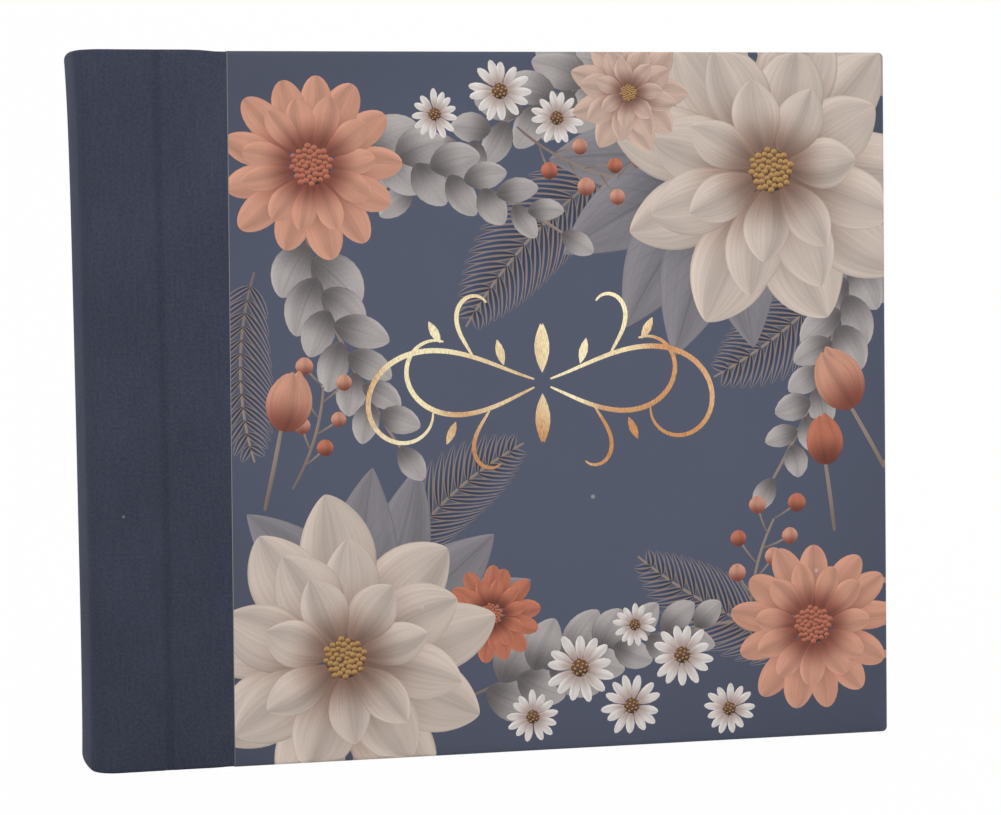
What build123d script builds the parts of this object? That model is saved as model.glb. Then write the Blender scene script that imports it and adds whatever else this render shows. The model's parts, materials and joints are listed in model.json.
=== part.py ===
"""Ring-bound address book with a rounded cloth spine and paper-covered boards.

The book stands closed on its lower edges. The front cover faces -Y, the spine is at -X, the
fore-edge at +X, and +Z is up. The origin is the middle of the closed book's footprint.
All sizes are in millimetres.
"""

import os
from math import acos, asin, atan2, cos, degrees, radians, sin, sqrt, tan

from build123d import *

# Covers
cover_height = 170.0
cover_width = 179.6  # hinge crease to fore-edge
board_thickness = 2.4
board_edge_radius = 0.7
board_corner_radius = 1.0
covering_thickness = 0.3  # bookcloth and cover paper
turn_in = 14.0  # width of the covering folded over onto the inside
cloth_on_cover = 16.2  # hinge crease to the edge of the cover paper
endpaper_thickness = 0.2
endpaper_margin = 3.0

# Spine
spine_depth = 19.5  # crown of the spine to hinge crease
spine_card_thickness = 1.6
spine_bulge = 7.3  # how far the crown stands out from where the flanks begin to bend
shoulder_radius = 6.3
hinge_gap = 2.0  # between the spine card and each board
cloth_slit = 0.4  # where the cloth strip is divided at the crease

# Rings
ring_pitch = 80.0
ring_radius = 13.0  # to the middle of the wire
wire_diameter = 2.2
ring_front_clearance = 3.9  # closed rings to the front endpaper
ring_setback = 17.5  # hinge crease to the rings' centre line
ring_open_angle = 8.5  # each half tips by this much
wire_foot_angle = 50.0  # below the horizontal, where the wire leaves its circle for the carrier
tip_gap = 0.1
tip_point_radius = 0.6
tip_point_length = 0.7
tip_point_clearance = 0.15

# Ring plate, riveted to the back board
plate_width = 20.0
plate_height = 6.0
plate_wall_height = 2.6
plate_thickness = 0.8
plate_edge_radius = 0.3
plate_beyond_rivet = 15.0
lip_reach = 1.6  # the lips that carry the outer edges of the carriers
lip_thickness = 0.8
slot_clearance = 0.4

# Carriers, the two leaves under the plate that hold the ring halves
carrier_thickness = 1.0
carrier_side_clearance = 0.1
carrier_seat_clearance = 0.05
carrier_middle_gap = 0.3
carrier_end_clearance = 2.0  # to the bodies of the levers

# Rivets and their washers
rivet_beyond_ring = 8.0
rivet_diameter = 3.5
rivet_head_diameter = 7.0
rivet_head_height = 1.2
rivet_notch_clearance = 1.0
rivet_tail_diameter = 6.0
rivet_tail_height = 0.5
washer_diameter = 9.0
washer_thickness = 0.5
washer_clearance = 0.2

# Levers
lever_width = 12.0
lever_thickness = 0.9
lever_pivot_inset = 2.0  # from the end of the plate
lever_pivot_height = 1.5
lever_pin_diameter = 1.4
lever_pin_clearance = 0.05
lever_body_length = 2.0
lever_floor_clearance = 0.3
lever_reach = 9.0  # pivot to the end of the thumb pad
lever_rise = 5.2
lever_pad_radius = 1.5
tongue_overlap = 2.5  # how far the tongue reaches under the carriers
tongue_width = 2.4
tongue_clearance = 0.1

# Leaves and index dividers
section_letters = ["ab", "cd", "ef", "gh", "ij", "kl", "mn", "op", "qr", "st", "uv", "wx", "yz"]
leaf_edge_margin = 5.0  # head and tail of the leaves to those of the covers
leaf_clearance = 1.24  # rivet heads to the lowest leaf
leaf_corner_radius = 4.0
leaves_thickness = 0.65  # the packet of leaves behind one divider
divider_thickness = 0.35
sheet_gap = 0.08
hole_margin = 12.0
hole_clearance = 0.25
tab_reach = 7.0
tab_fore_margin = 4.8  # tabs to the fore-edge of the covers
tab_corner_radius = 2.0
tab_step_gap = 0.6
tab_end_margin = 2.0

# Depths of the layers of a cover, counted inwards from its outer face
board_inner = covering_thickness + board_thickness
turn_in_inner = board_inner + covering_thickness
endpaper_inner = turn_in_inner + endpaper_thickness

# Heights above the back endpaper: the arched plate, the rivets on it, the leaves over them, and the
# ring's centre in the middle of the leaves
plate_half = plate_width / 2
arch_rise = plate_height - plate_wall_height
arch_radius = (plate_half**2 + arch_rise**2) / (2 * arch_rise)
seat_drop = arch_radius - sqrt(arch_radius**2 - (rivet_head_diameter / 2) ** 2)
rivet_seat = plate_height - seat_drop
section_count = len(section_letters)
section_pitch = divider_thickness + leaves_thickness + 2 * sheet_gap
stack_half = section_count * section_pitch / 2
ring_height = rivet_seat + rivet_head_height + leaf_clearance + stack_half

# The closed book is as thick as its rings ask for
wire_radius = wire_diameter / 2
ring_top = ring_height + ring_radius + wire_radius
book_thickness = ring_top + ring_front_clearance + 2 * endpaper_inner
half_thickness = book_thickness / 2
back_inner_y = half_thickness - endpaper_inner

# Places along the book
overall_width = spine_depth + cover_width
x_crown = -overall_width / 2
x_fore = overall_width / 2
x_crease = x_crown + spine_depth
x_hinge = x_crease + cloth_slit / 2
x_board = x_crease + hinge_gap / 2
x_paper = x_crease + cloth_on_cover
ring_x = x_crease + ring_setback

# Places up the book
z_middle = cover_height / 2
ring_heights = (z_middle - ring_pitch / 2, z_middle + ring_pitch / 2)
rivet_heights = (ring_heights[0] - rivet_beyond_ring, ring_heights[1] + rivet_beyond_ring)
plate_length = rivet_heights[1] - rivet_heights[0] + 2 * plate_beyond_rivet
lever_pivot_z = plate_length / 2 - lever_pivot_inset
carrier_half_length = lever_pivot_z - lever_body_length / 2 - carrier_end_clearance
tongue_length = lever_body_length / 2 + carrier_end_clearance + tongue_overlap

# The carriers turn about their outer edges, which sit on the plate's lips
carrier_low = lip_thickness + carrier_seat_clearance
carrier_top = carrier_low + carrier_thickness
pivot_across = plate_half - plate_thickness - carrier_side_clearance - carrier_thickness / 2
pivot_height = carrier_low + carrier_thickness / 2

os.makedirs("parts", exist_ok=True)


def write(part, name):
    part.label = name
    export_step(part, f"parts/{name}.step")


def slab(x_range, y_range, z_range, mode=Mode.ADD):
    """A block between the given limits, in the part being built."""
    limits = [sorted(pair) for pair in (x_range, y_range, z_range)]
    middle = [(low + high) / 2 for low, high in limits]
    size = [high - low for low, high in limits]
    with Locations(tuple(middle)):
        Box(*size, mode=mode)


def cover_slab(side, x_range, depths, z_range, mode=Mode.ADD):
    """A block in a cover: side is -1 at the front and 1 at the back, depths count inwards."""
    y_range = [side * (half_thickness - depth) for depth in depths]
    slab(x_range, y_range, z_range, mode)


def round_cover_edges(builder, side, corner_radius, edge_radius):
    """Rounds the two fore-edge corners, then the outer edges apart from the hinge edge."""
    fillet(builder.edges().filter_by(Axis.Y).group_by(Axis.X)[-1], radius=corner_radius)
    outer_face = builder.faces().filter_by(Axis.Y).sort_by(Axis.Y)[0 if side < 0 else -1]
    fillet(outer_face.edges().sort_by(Axis.X)[1:], radius=edge_radius)


def inner_plane(height):
    """The plane at this height above the back endpaper, facing the front cover."""
    return Plane.XZ.offset(height - back_inner_y)


def section_plane(z):
    """A plane across the rings: x counts from their centre line, y from the back endpaper."""
    return Plane(origin=(ring_x, back_inner_y, z), x_dir=(1, 0, 0), z_dir=(0, 0, -1))


def rivet_spots(plane):
    """The places of the two rivets on a plane that faces the front cover."""
    return [plane.location * Location((ring_x, z, 0)) for z in rivet_heights]


# Covers: a board, the cloth and paper round its edges, and an endpaper over the turned-in covering
rivet_radius = rivet_diameter / 2
for side, cover in ((-1, "front"), (1, "back")):
    with BuildPart() as core:
        core_x = (x_hinge, x_fore - covering_thickness)
        core_z = (covering_thickness, cover_height - covering_thickness)
        cover_slab(side, core_x, (covering_thickness, board_inner), core_z)
        round_cover_edges(core, side, board_corner_radius, board_edge_radius)

    with BuildPart() as board:
        add(core.part)
        split(bisect_by=Plane.YZ.offset(x_board), keep=Keep.TOP)
        if cover == "back":
            with Locations(*rivet_spots(inner_plane(covering_thickness - endpaper_inner))):
                Cylinder(rivet_radius, 2 * board_inner, mode=Mode.SUBTRACT)
                recess_radius = washer_diameter / 2 + washer_clearance
                recess_depth = washer_thickness + rivet_tail_height
                Cylinder(recess_radius, 2 * recess_depth, mode=Mode.SUBTRACT)
    write(board.part, f"{cover}_board")

    with BuildPart() as covering:
        cover_slab(side, (x_hinge, x_fore), (0, turn_in_inner), (0, cover_height))
        corner = board_corner_radius + covering_thickness
        edge = board_edge_radius + covering_thickness
        round_cover_edges(covering, side, corner, edge)
        add(core.part, mode=Mode.SUBTRACT)
        window_x = (x_hinge, x_fore - turn_in)
        window_z = (turn_in, cover_height - turn_in)
        cover_slab(side, window_x, (board_inner, turn_in_inner), window_z, Mode.SUBTRACT)

    with BuildPart() as cover_paper:
        add(covering.part)
        split(bisect_by=Plane.YZ.offset(x_paper), keep=Keep.TOP)
    write(cover_paper.part, f"{cover}_cover_paper")

    with BuildPart() as hinge_cloth:
        add(covering.part)
        split(bisect_by=Plane.YZ.offset(x_paper), keep=Keep.BOTTOM)
    write(hinge_cloth.part, f"{cover}_hinge_cloth")

    with BuildPart() as endpaper:
        sheet_x = (x_board + endpaper_margin, x_fore - endpaper_margin)
        sheet_z = (endpaper_margin, cover_height - endpaper_margin)
        cover_slab(side, sheet_x, (turn_in_inner, endpaper_inner), sheet_z)
        filler_x = (x_board + endpaper_margin, x_fore - turn_in)
        cover_slab(side, filler_x, (board_inner, turn_in_inner), window_z)
        if cover == "back":
            with Locations(*rivet_spots(inner_plane(0))):
                Cylinder(rivet_radius, 2 * endpaper_inner, mode=Mode.SUBTRACT)
    write(endpaper.part, f"{cover}_endpaper")

# Spine: two flat flanks, a shoulder arc on each and a wider arc across the crown, all tangent
shoulder_x = x_crown + spine_bulge
shoulder_y = half_thickness - shoulder_radius
crown_radius = (spine_bulge**2 + half_thickness**2 - 2 * half_thickness * shoulder_radius) / (
    2 * (spine_bulge - shoulder_radius)
)
crown_x = x_crown + crown_radius
crown_half_angle = degrees(atan2(shoulder_y, crown_x - shoulder_x))
shoulder_turn = 90 - crown_half_angle


def spine_line(inset, x_end):
    """The spine's profile at this depth below its outer face, between two flank ends."""
    y = half_thickness - inset
    radius = shoulder_radius - inset
    Line((x_end, -y), (shoulder_x, -y))
    CenterArc((shoulder_x, -shoulder_y), radius, 270, -shoulder_turn)
    CenterArc((crown_x, 0), crown_radius - inset, 180 + crown_half_angle, -2 * crown_half_angle)
    CenterArc((shoulder_x, shoulder_y), radius, 180 - crown_half_angle, -shoulder_turn)
    Line((shoulder_x, y), (x_end, y))


def spine_band(outer_inset, inner_inset, x_end, z_low, z_high):
    """A layer of the spine between two depths and two heights, in the part being built."""
    with BuildSketch(Plane.XY.offset(z_low)) as band:
        with BuildLine():
            spine_line(outer_inset, x_end)
            spine_line(inner_inset, x_end)
            for y_sign in (-1, 1):
                outer_end = (x_end, y_sign * (half_thickness - outer_inset))
                inner_end = (x_end, y_sign * (half_thickness - inner_inset))
                Line(outer_end, inner_end)
        make_face()
    extrude(band.sketch, amount=z_high - z_low)


card_inner = covering_thickness + spine_card_thickness
spine_turn_in_inner = card_inner + covering_thickness
spine_lining_inner = spine_turn_in_inner + endpaper_thickness
x_card_end = x_crease - hinge_gap / 2
x_cloth_end = x_crease - cloth_slit / 2

with BuildPart() as spine_card:
    card_z = (covering_thickness, cover_height - covering_thickness)
    spine_band(covering_thickness, card_inner, x_card_end, *card_z)
write(spine_card.part, "spine_card")

with BuildPart() as spine_cloth:
    spine_band(0, covering_thickness, x_cloth_end, 0, cover_height)
    for z_low, z_high in ((0, covering_thickness), (cover_height - covering_thickness, cover_height)):
        spine_band(covering_thickness, card_inner, x_card_end, z_low, z_high)
    for z_low, z_high in ((0, turn_in), (cover_height - turn_in, cover_height)):
        spine_band(card_inner, spine_turn_in_inner, x_card_end, z_low, z_high)
write(spine_cloth.part, "spine_cloth")

with BuildPart() as spine_lining:
    lining_z = (endpaper_margin, cover_height - endpaper_margin)
    spine_band(spine_turn_in_inner, spine_lining_inner, x_card_end, *lining_z)
    spine_band(card_inner, spine_turn_in_inner, x_card_end, turn_in, cover_height - turn_in)
write(spine_lining.part, "spine_lining")

# Ring plate: an arched channel whose inner lips carry the two carriers. The wire of each ring half
# leaves its circle at the foot, runs straight down through a slot in the arch and stands on a carrier
inner_half = plate_half - plate_thickness
inner_radius = arch_radius - plate_thickness
inner_wall_height = plate_height - arch_radius + sqrt(inner_radius**2 - inner_half**2)
foot_angle = radians(wire_foot_angle)
foot_reach = ring_radius * cos(foot_angle)
foot_height = ring_height - ring_radius * sin(foot_angle)
foot_across = foot_reach - (foot_height - carrier_top) * tan(foot_angle)
pin_radius = lever_pin_diameter / 2

with BuildPart() as ring_plate:
    with BuildSketch(section_plane(z_middle)):
        with BuildLine():
            outer_wall = (plate_half, plate_wall_height)
            outer_wall_mirrored = (-plate_half, plate_wall_height)
            inner_wall = (inner_half, inner_wall_height)
            inner_wall_mirrored = (-inner_half, inner_wall_height)
            Line((-plate_half, 0), outer_wall_mirrored)
            ThreePointArc(outer_wall_mirrored, (0, plate_height), outer_wall)
            Polyline(outer_wall, (plate_half, 0), (inner_half, 0), inner_wall)
            ThreePointArc(inner_wall, (0, plate_height - plate_thickness), inner_wall_mirrored)
            Polyline(inner_wall_mirrored, (-inner_half, 0), (-plate_half, 0))
        make_face()
    extrude(amount=plate_length / 2, both=True)
    outer_arcs = ring_plate.edges().filter_by(GeomType.CIRCLE).sort_by(SortBy.RADIUS)[-2:]
    fillet(outer_arcs, radius=plate_edge_radius)
    for half in (-1, 1):
        lip_x = (ring_x + half * (inner_half - lip_reach), ring_x + half * inner_half)
        lip_y = (back_inner_y, back_inner_y - lip_thickness)
        slab(lip_x, lip_y, (z_middle - carrier_half_length, z_middle + carrier_half_length))
        for z_ring in ring_heights:
            slot_x = (ring_x + half * foot_across, ring_x + half * (foot_reach + wire_radius))
            slot_y = (back_inner_y - carrier_top, back_inner_y - 2 * plate_height)
            slot_half = wire_radius + slot_clearance
            slab(slot_x, slot_y, (z_ring - slot_half, z_ring + slot_half), Mode.SUBTRACT)
    with Locations(*rivet_spots(inner_plane(rivet_seat))):
        Cylinder(rivet_radius, 2 * plate_height, mode=Mode.SUBTRACT)
        seat_align = (Align.CENTER, Align.CENTER, Align.MIN)
        Cylinder(rivet_head_diameter / 2, plate_height, align=seat_align, mode=Mode.SUBTRACT)
    with Locations(Plane.YZ.offset(ring_x)):
        pin_y = back_inner_y - lever_pivot_height
        with Locations((pin_y, z_middle - lever_pivot_z), (pin_y, z_middle + lever_pivot_z)):
            Cylinder(pin_radius + lever_pin_clearance, 2 * plate_width, mode=Mode.SUBTRACT)
write(ring_plate.part, "ring_plate")

with BuildPart() as rivets:
    # Turned about the rivet's own axis: a domed head on the plate, a shank, and a flat tail in the board
    head_radius = rivet_head_diameter / 2
    tail_radius = rivet_tail_diameter / 2
    tail_low = covering_thickness - endpaper_inner
    tail_top = tail_low + rivet_tail_height
    dome_radius = (head_radius**2 + rivet_head_height**2) / (2 * rivet_head_height)
    for z in rivet_heights:
        with BuildSketch(section_plane(z)):
            with BuildLine():
                head_edge = (head_radius, rivet_seat)
                head_top = (0, rivet_seat + rivet_head_height)
                Polyline(
                    head_top,
                    (0, tail_low),
                    (tail_radius, tail_low),
                    (tail_radius, tail_top),
                    (rivet_radius, tail_top),
                    (rivet_radius, rivet_seat),
                    head_edge,
                )
                RadiusArc(head_edge, head_top, -dome_radius)
            make_face()
        revolve(axis=Axis((ring_x, 0, z), (0, 1, 0)))
write(rivets.part, "rivets")

with BuildPart() as rivet_washers:
    with BuildSketch(inner_plane(tail_top)):
        with Locations((ring_x, rivet_heights[0]), (ring_x, rivet_heights[1])):
            Circle(washer_diameter / 2)
            Circle(rivet_radius, mode=Mode.SUBTRACT)
    extrude(amount=washer_thickness)
write(rivet_washers.part, "rivet_washers")

# Ring halves, each pair on its own carrier: half is 1 towards the fore-edge and -1 towards the spine
for half, place in ((1, "fore"), (-1, "spine")):
    with BuildPart() as carrier:
        with BuildSketch(section_plane(z_middle)):
            with BuildLine():
                inner_edge = half * carrier_middle_gap / 2
                outer_edge = half * pivot_across
                bulge_tip = (half * (pivot_across + carrier_thickness / 2), pivot_height)
                Polyline(
                    (outer_edge, carrier_low),
                    (inner_edge, carrier_low),
                    (inner_edge, carrier_top),
                    (outer_edge, carrier_top),
                )
                ThreePointArc((outer_edge, carrier_top), bulge_tip, (outer_edge, carrier_low))
            make_face()
        extrude(amount=carrier_half_length, both=True)
        with Locations(*rivet_spots(inner_plane(pivot_height))):
            Cylinder(rivet_radius + rivet_notch_clearance, 2 * carrier_thickness, mode=Mode.SUBTRACT)
    write(carrier.part, f"{place}_carrier")

    with BuildPart() as half_ring:
        tip_angle = degrees(acos(tip_gap / 2 / ring_radius))
        wire_end = (half * (foot_across - wire_diameter * tan(foot_angle)), carrier_top - wire_diameter)
        with BuildLine(section_plane(z_middle)) as wire_path:
            Line(wire_end, (half * foot_reach, foot_height))
            ring_points = [
                (
                    half * ring_radius * cos(radians(angle)),
                    ring_height + ring_radius * sin(radians(angle)),
                )
                for angle in (-wire_foot_angle, (tip_angle - wire_foot_angle) / 2, tip_angle)
            ]
            ThreePointArc(*ring_points)
        with BuildSketch(Plane(origin=wire_path.line @ 0, z_dir=wire_path.line % 0)):
            Circle(wire_radius)
        sweep(path=wire_path.line)
        split(bisect_by=inner_plane(carrier_top), keep=Keep.TOP)
        # The fore-edge half ends in a blunt point that closes into a socket in the other half
        point_radius = tip_point_radius
        point_length = tip_point_length
        point_mode = Mode.ADD
        if place == "spine":
            point_radius += tip_point_clearance
            point_length += tip_point_clearance
            point_mode = Mode.SUBTRACT
        with Locations(Plane(origin=wire_path.line @ 1, z_dir=(-1, 0, 0))):
            point_align = (Align.CENTER, Align.CENTER, Align.MIN)
            Cone(point_radius, point_radius / 2, point_length, align=point_align, mode=point_mode)

    with BuildPart() as ring_halves:
        with Locations((0, 0, -ring_pitch / 2), (0, 0, ring_pitch / 2)):
            add(half_ring.part)
    write(ring_halves.part, f"{place}_ring_halves")

# Levers at the two ends of the plate: a thumb pad outside, a narrow tongue under the carriers
tongue_top = carrier_low - tongue_clearance
body_half = lever_body_length / 2
body_top = lever_pivot_height + pin_radius
for end, place in ((-1, "lower"), (1, "upper")):
    pivot_z = z_middle + end * lever_pivot_z
    profile_plane = Plane(origin=(ring_x, back_inner_y, pivot_z), x_dir=(0, 0, end), z_dir=(end, 0, 0))
    with BuildPart() as lever:
        with BuildSketch(profile_plane):
            with BuildLine():
                Polyline(
                    (-body_half, lever_floor_clearance),
                    (body_half, lever_floor_clearance),
                    (lever_reach, lever_rise - lever_thickness),
                    (lever_reach, lever_rise),
                    (body_half, body_top),
                    (-body_half, body_top),
                    close=True,
                )
            make_face()
        extrude(amount=lever_width / 2, both=True)
        pad_corners = lever.edges().filter_by(Axis.Y).group_by(Axis.Z)[0 if end < 0 else -1]
        fillet(pad_corners, radius=lever_pad_radius)
        with BuildSketch(profile_plane):
            with BuildLine():
                Polyline(
                    (-tongue_length, lever_floor_clearance),
                    (0, lever_floor_clearance),
                    (0, tongue_top),
                    (-tongue_length, tongue_top),
                    close=True,
                )
            make_face()
        extrude(amount=tongue_width / 2, both=True)
        with Locations(Plane.YZ.offset(ring_x)):
            with Locations((back_inner_y - lever_pivot_height, pivot_z)):
                Cylinder(pin_radius, plate_width)
    write(lever.part, f"{place}_lever")

# The punched hole holds the wire closed and open: the wire crosses the outermost sheets aslant,
# and it moves towards the fore-edge as its half turns about the carrier's outer edge
open_angle = radians(ring_open_angle)
open_across = pivot_across * (1 - cos(open_angle)) + (ring_height - pivot_height) * sin(open_angle)
open_rise = pivot_across * sin(open_angle) - (ring_height - pivot_height) * (1 - cos(open_angle))
closed_reach = sqrt(ring_radius**2 - stack_half**2)
open_reach = open_across + sqrt(ring_radius**2 - (stack_half - open_rise) ** 2)
wire_shift = open_reach - closed_reach
wire_slant = asin(stack_half / ring_radius)
wire_half_cut = wire_radius / cos(wire_slant) + leaves_thickness / 2 * tan(wire_slant)
hole_diameter = 2 * wire_half_cut + wire_shift + 2 * hole_clearance
hole_offset = wire_shift / 2

# Index sections from the front cover to the back: a divider card with its tab, and the packet of
# leaves behind it. Each hangs on the wire, so the stack bends with the ring
leaf_height = cover_height - 2 * leaf_edge_margin
middle_hole_x = ring_x + ring_radius + hole_offset
leaf_width = x_fore - tab_fore_margin - tab_reach - (middle_hole_x - hole_margin)
tab_run = leaf_height - 2 * (leaf_corner_radius + tab_end_margin)
tab_pitch = tab_run / section_count
tab_height = tab_pitch - tab_step_gap
for index, letters in enumerate(section_letters):
    divider_low = ring_height + stack_half - index * section_pitch - sheet_gap / 2 - divider_thickness
    leaves_low = divider_low - sheet_gap - leaves_thickness
    sheets = (("divider", divider_low, divider_thickness), ("leaves", leaves_low, leaves_thickness))
    for kind, low, thickness in sheets:
        height_on_ring = low + thickness / 2 - ring_height
        x_hole = ring_x + sqrt(ring_radius**2 - height_on_ring**2) + hole_offset
        x_middle = x_hole - hole_margin + leaf_width / 2
        with BuildPart() as sheet:
            with BuildSketch(inner_plane(low)):
                with Locations((x_middle, z_middle)):
                    RectangleRounded(leaf_width, leaf_height, leaf_corner_radius)
                if kind == "divider":
                    tab_z = z_middle + tab_run / 2 - (index + 0.5) * tab_pitch
                    with Locations((x_middle + leaf_width / 2, tab_z)):
                        RectangleRounded(2 * tab_reach, tab_height, tab_corner_radius)
                with Locations((x_hole, ring_heights[0]), (x_hole, ring_heights[1])):
                    Circle(hole_diameter / 2, mode=Mode.SUBTRACT)
            extrude(amount=thickness)
        write(sheet.part, f"{kind}_{letters}")

print(f"closed book {overall_width:.1f} x {book_thickness:.1f} x {cover_height:.1f} mm")
print(f"punched hole {hole_diameter:.2f} mm across, wire moves {wire_shift:.2f} mm as the rings open")
print(f"leaves {leaf_width:.1f} x {leaf_height:.1f} mm, plate {plate_length:.1f} mm long")
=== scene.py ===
# %% [markdown]
# # A ring-bound address book
# The frame holds every solid piece of the book at its real size: boards, spine, rings and leaves.
# This lesson gives them their looks. The bookcloth, the printed paper and the leaves are modelled
# again as thin sheets, because a sheet bends, laps and shows its cut edge where a solid can't. The
# steel and the boards keep their solids and get a finish.

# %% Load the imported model
import json
import math
import random

import bmesh
import bpy
from mathutils import Matrix, Vector
from mathutils.geometry import delaunay_2d_cdt


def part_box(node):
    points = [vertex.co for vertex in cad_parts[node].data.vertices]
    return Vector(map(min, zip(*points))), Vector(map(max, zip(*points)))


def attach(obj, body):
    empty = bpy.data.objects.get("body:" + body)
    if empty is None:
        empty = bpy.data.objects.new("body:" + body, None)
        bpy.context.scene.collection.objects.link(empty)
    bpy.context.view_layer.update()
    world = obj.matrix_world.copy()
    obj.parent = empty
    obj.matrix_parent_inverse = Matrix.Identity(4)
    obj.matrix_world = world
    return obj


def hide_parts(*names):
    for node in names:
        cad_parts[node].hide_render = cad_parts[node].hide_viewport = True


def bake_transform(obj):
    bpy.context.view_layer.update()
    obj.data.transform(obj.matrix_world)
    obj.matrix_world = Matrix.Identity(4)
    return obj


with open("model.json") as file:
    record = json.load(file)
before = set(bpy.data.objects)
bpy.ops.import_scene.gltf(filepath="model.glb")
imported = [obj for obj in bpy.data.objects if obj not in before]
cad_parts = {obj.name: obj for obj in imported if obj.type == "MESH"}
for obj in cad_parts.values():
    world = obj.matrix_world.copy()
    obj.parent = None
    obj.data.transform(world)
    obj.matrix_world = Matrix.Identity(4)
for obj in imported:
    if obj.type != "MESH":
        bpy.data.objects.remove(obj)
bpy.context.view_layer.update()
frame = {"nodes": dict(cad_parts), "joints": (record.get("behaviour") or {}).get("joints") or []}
nodes = frame["nodes"]
bpy.ops.object.select_all(action="DESELECT")
mm = 0.001

# %% [markdown]
# The places that later steps need are read from the frame, so nothing here has to be fitted. The
# book stands on its lower edges. The front cover faces -Y, the spine is at -X and the fore-edge at +X.

# %% Places read from the frame
paper_low, paper_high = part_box("front_cover_paper")
spine_low, spine_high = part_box("spine_cloth")
joints = {joint["name"]: joint for joint in frame["joints"]}
x_crown = spine_low.x
x_crease = joints["spine_hinge"]["pos_m"][0]
x_paper = paper_low.x
x_fore = paper_high.x
half_thickness = spine_high.y
book_height = paper_high.z
wrap_depth = paper_high.y - paper_low.y
print("crease", round(x_crease / mm, 2), "paper from", round(x_paper / mm, 2))

# %% [markdown]
# A portrait of an object starts with the camera. This one stands a little left of the book and looks
# slightly down, so that the rounded spine comes forward. A long lens keeps the cover's edges nearly
# parallel. The three turns are the camera's own, in degrees, and the lens is in millimetres.

# %% Camera
camera_place = Vector((-130.9, -636.8, 119.9)) * mm
camera_turns = (86.77, 0.835, -12.12)
lens_length, sensor_width = 93.9, 36.0
nearest_seen = 10 * mm
bpy.ops.object.camera_add(location=camera_place, rotation=[math.radians(turn) for turn in camera_turns])
camera = bpy.context.object
camera.name = "portrait_camera"
camera.data.lens = lens_length
camera.data.sensor_width = sensor_width
camera.data.clip_start = nearest_seen
bpy.context.scene.camera = camera
bpy.context.scene.view_settings.view_transform = "Standard"
print("camera", [round(part / mm, 1) for part in camera.location])

# %% [markdown]
# The studio is one pale sheet that runs back from under the book and curves up behind it, so there is
# no corner in view. It is a plane whose far edge is extruded upwards and whose fold is bevelled round.
# The helper below selects by place, as one would with a box select.


# %% Floor sweep
def pick(obj, kind, test):
    """Selects, in edit mode, only the vertices, edges or faces that pass the test."""
    bpy.ops.mesh.select_mode(type=kind)
    bpy.ops.mesh.select_all(action="DESELECT")
    mesh = bmesh.from_edit_mesh(obj.data)
    parts = {"VERT": mesh.verts, "EDGE": mesh.edges, "FACE": mesh.faces}[kind]
    for part in parts:
        part.select_set(test(part))
    bmesh.update_edit_mesh(obj.data)


sweep_width, sweep_depth, sweep_height = 8.0, 5.0, 4.0
sweep_back = 1.6
sweep_round, sweep_segments = 1.0, 20
bpy.ops.mesh.primitive_plane_add(size=1.0, location=(0, sweep_back - sweep_depth / 2, 0))
sweep = bpy.context.object
sweep.name = "studio_sweep"
sweep.scale = (sweep_width, sweep_depth, 1)
bpy.ops.object.transform_apply(location=True, rotation=True, scale=True)
bpy.ops.object.mode_set(mode="EDIT")
pick(sweep, "EDGE", lambda edge: all(v.co.y > sweep_back - mm for v in edge.verts))
bpy.ops.mesh.extrude_region_move(TRANSFORM_OT_translate={"value": (0, 0, sweep_height)})
pick(sweep, "EDGE", lambda edge: all(v.co.y > sweep_back - mm and v.co.z < mm for v in edge.verts))
bpy.ops.mesh.bevel(offset=sweep_round, segments=sweep_segments)
bpy.ops.object.mode_set(mode="OBJECT")
bpy.ops.object.shade_smooth()
print("sweep faces", len(sweep.data.polygons))

# %% [markdown]
# The light is plain and soft: a large softbox high on the left, a weaker one on the right, one behind
# the book for whoever walks round it, and an even sky. A sun or a spot would throw a hard shadow. The
# lamps light a surface at about the level that its colour is written in. Places and sizes are in
# metres, and powers in watts.

# %% Softboxes
book_middle = Vector((0, 0, book_height / 2))
studio_lamps = {
    "key_softbox": {"place": (-0.55, -1.1, 1.25), "size": 1.1, "power": 9.0},
    "fill_softbox": {"place": (0.9, -1.2, 0.55), "size": 1.2, "power": 2.8},
    "back_softbox": {"place": (0.8, 1.2, 1.0), "size": 1.0, "power": 7.0},
}


def softbox(name, place, size, power):
    """A square area lamp that looks from its place at the middle of the book."""
    bpy.ops.object.light_add(type="AREA", location=place)
    lamp = bpy.context.object
    lamp.name = name
    lamp.data.shape = "SQUARE"
    lamp.data.size = size
    lamp.data.energy = power
    lamp.rotation_euler = (book_middle - Vector(place)).to_track_quat("-Z", "Y").to_euler()


for name, settings in studio_lamps.items():
    softbox(name, **settings)

# %% [markdown]
# Materials are trees of nodes. A few small helpers keep the trees readable: one adds a node with its
# settings, one adds a step of arithmetic, and one turns a screen colour into the linear colour that
# a shader wants. Colours in this lesson are written as they look on a screen, from 0 to 255.


# %% Node helpers
def screen(red, green, blue):
    """A linear colour with alpha from 8-bit screen values."""
    shares = [value / 255 for value in (red, green, blue)]
    linear = [s / 12.92 if s <= 0.04045 else ((s + 0.055) / 1.055) ** 2.4 for s in shares]
    return (*linear, 1.0)


def feed(tree, socket, value):
    """Links an output to a socket, or writes a plain value on it."""
    if isinstance(value, bpy.types.NodeSocket):
        tree.links.new(value, socket)
    else:
        socket.default_value = value


def add(tree, kind, inputs=None, **settings):
    """Adds a node, sets its options and feeds its named inputs."""
    node = tree.nodes.new(kind)
    for name, value in settings.items():
        setattr(node, name, value)
    for name, value in (inputs or {}).items():
        feed(tree, node.inputs[name], value)
    return node


def calc(tree, operation, *values):
    """One step of arithmetic on outputs or plain numbers."""
    node = add(tree, "ShaderNodeMath", operation=operation)
    for socket, value in zip(node.inputs, values):
        feed(tree, socket, value)
    return node.outputs[0]


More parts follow.
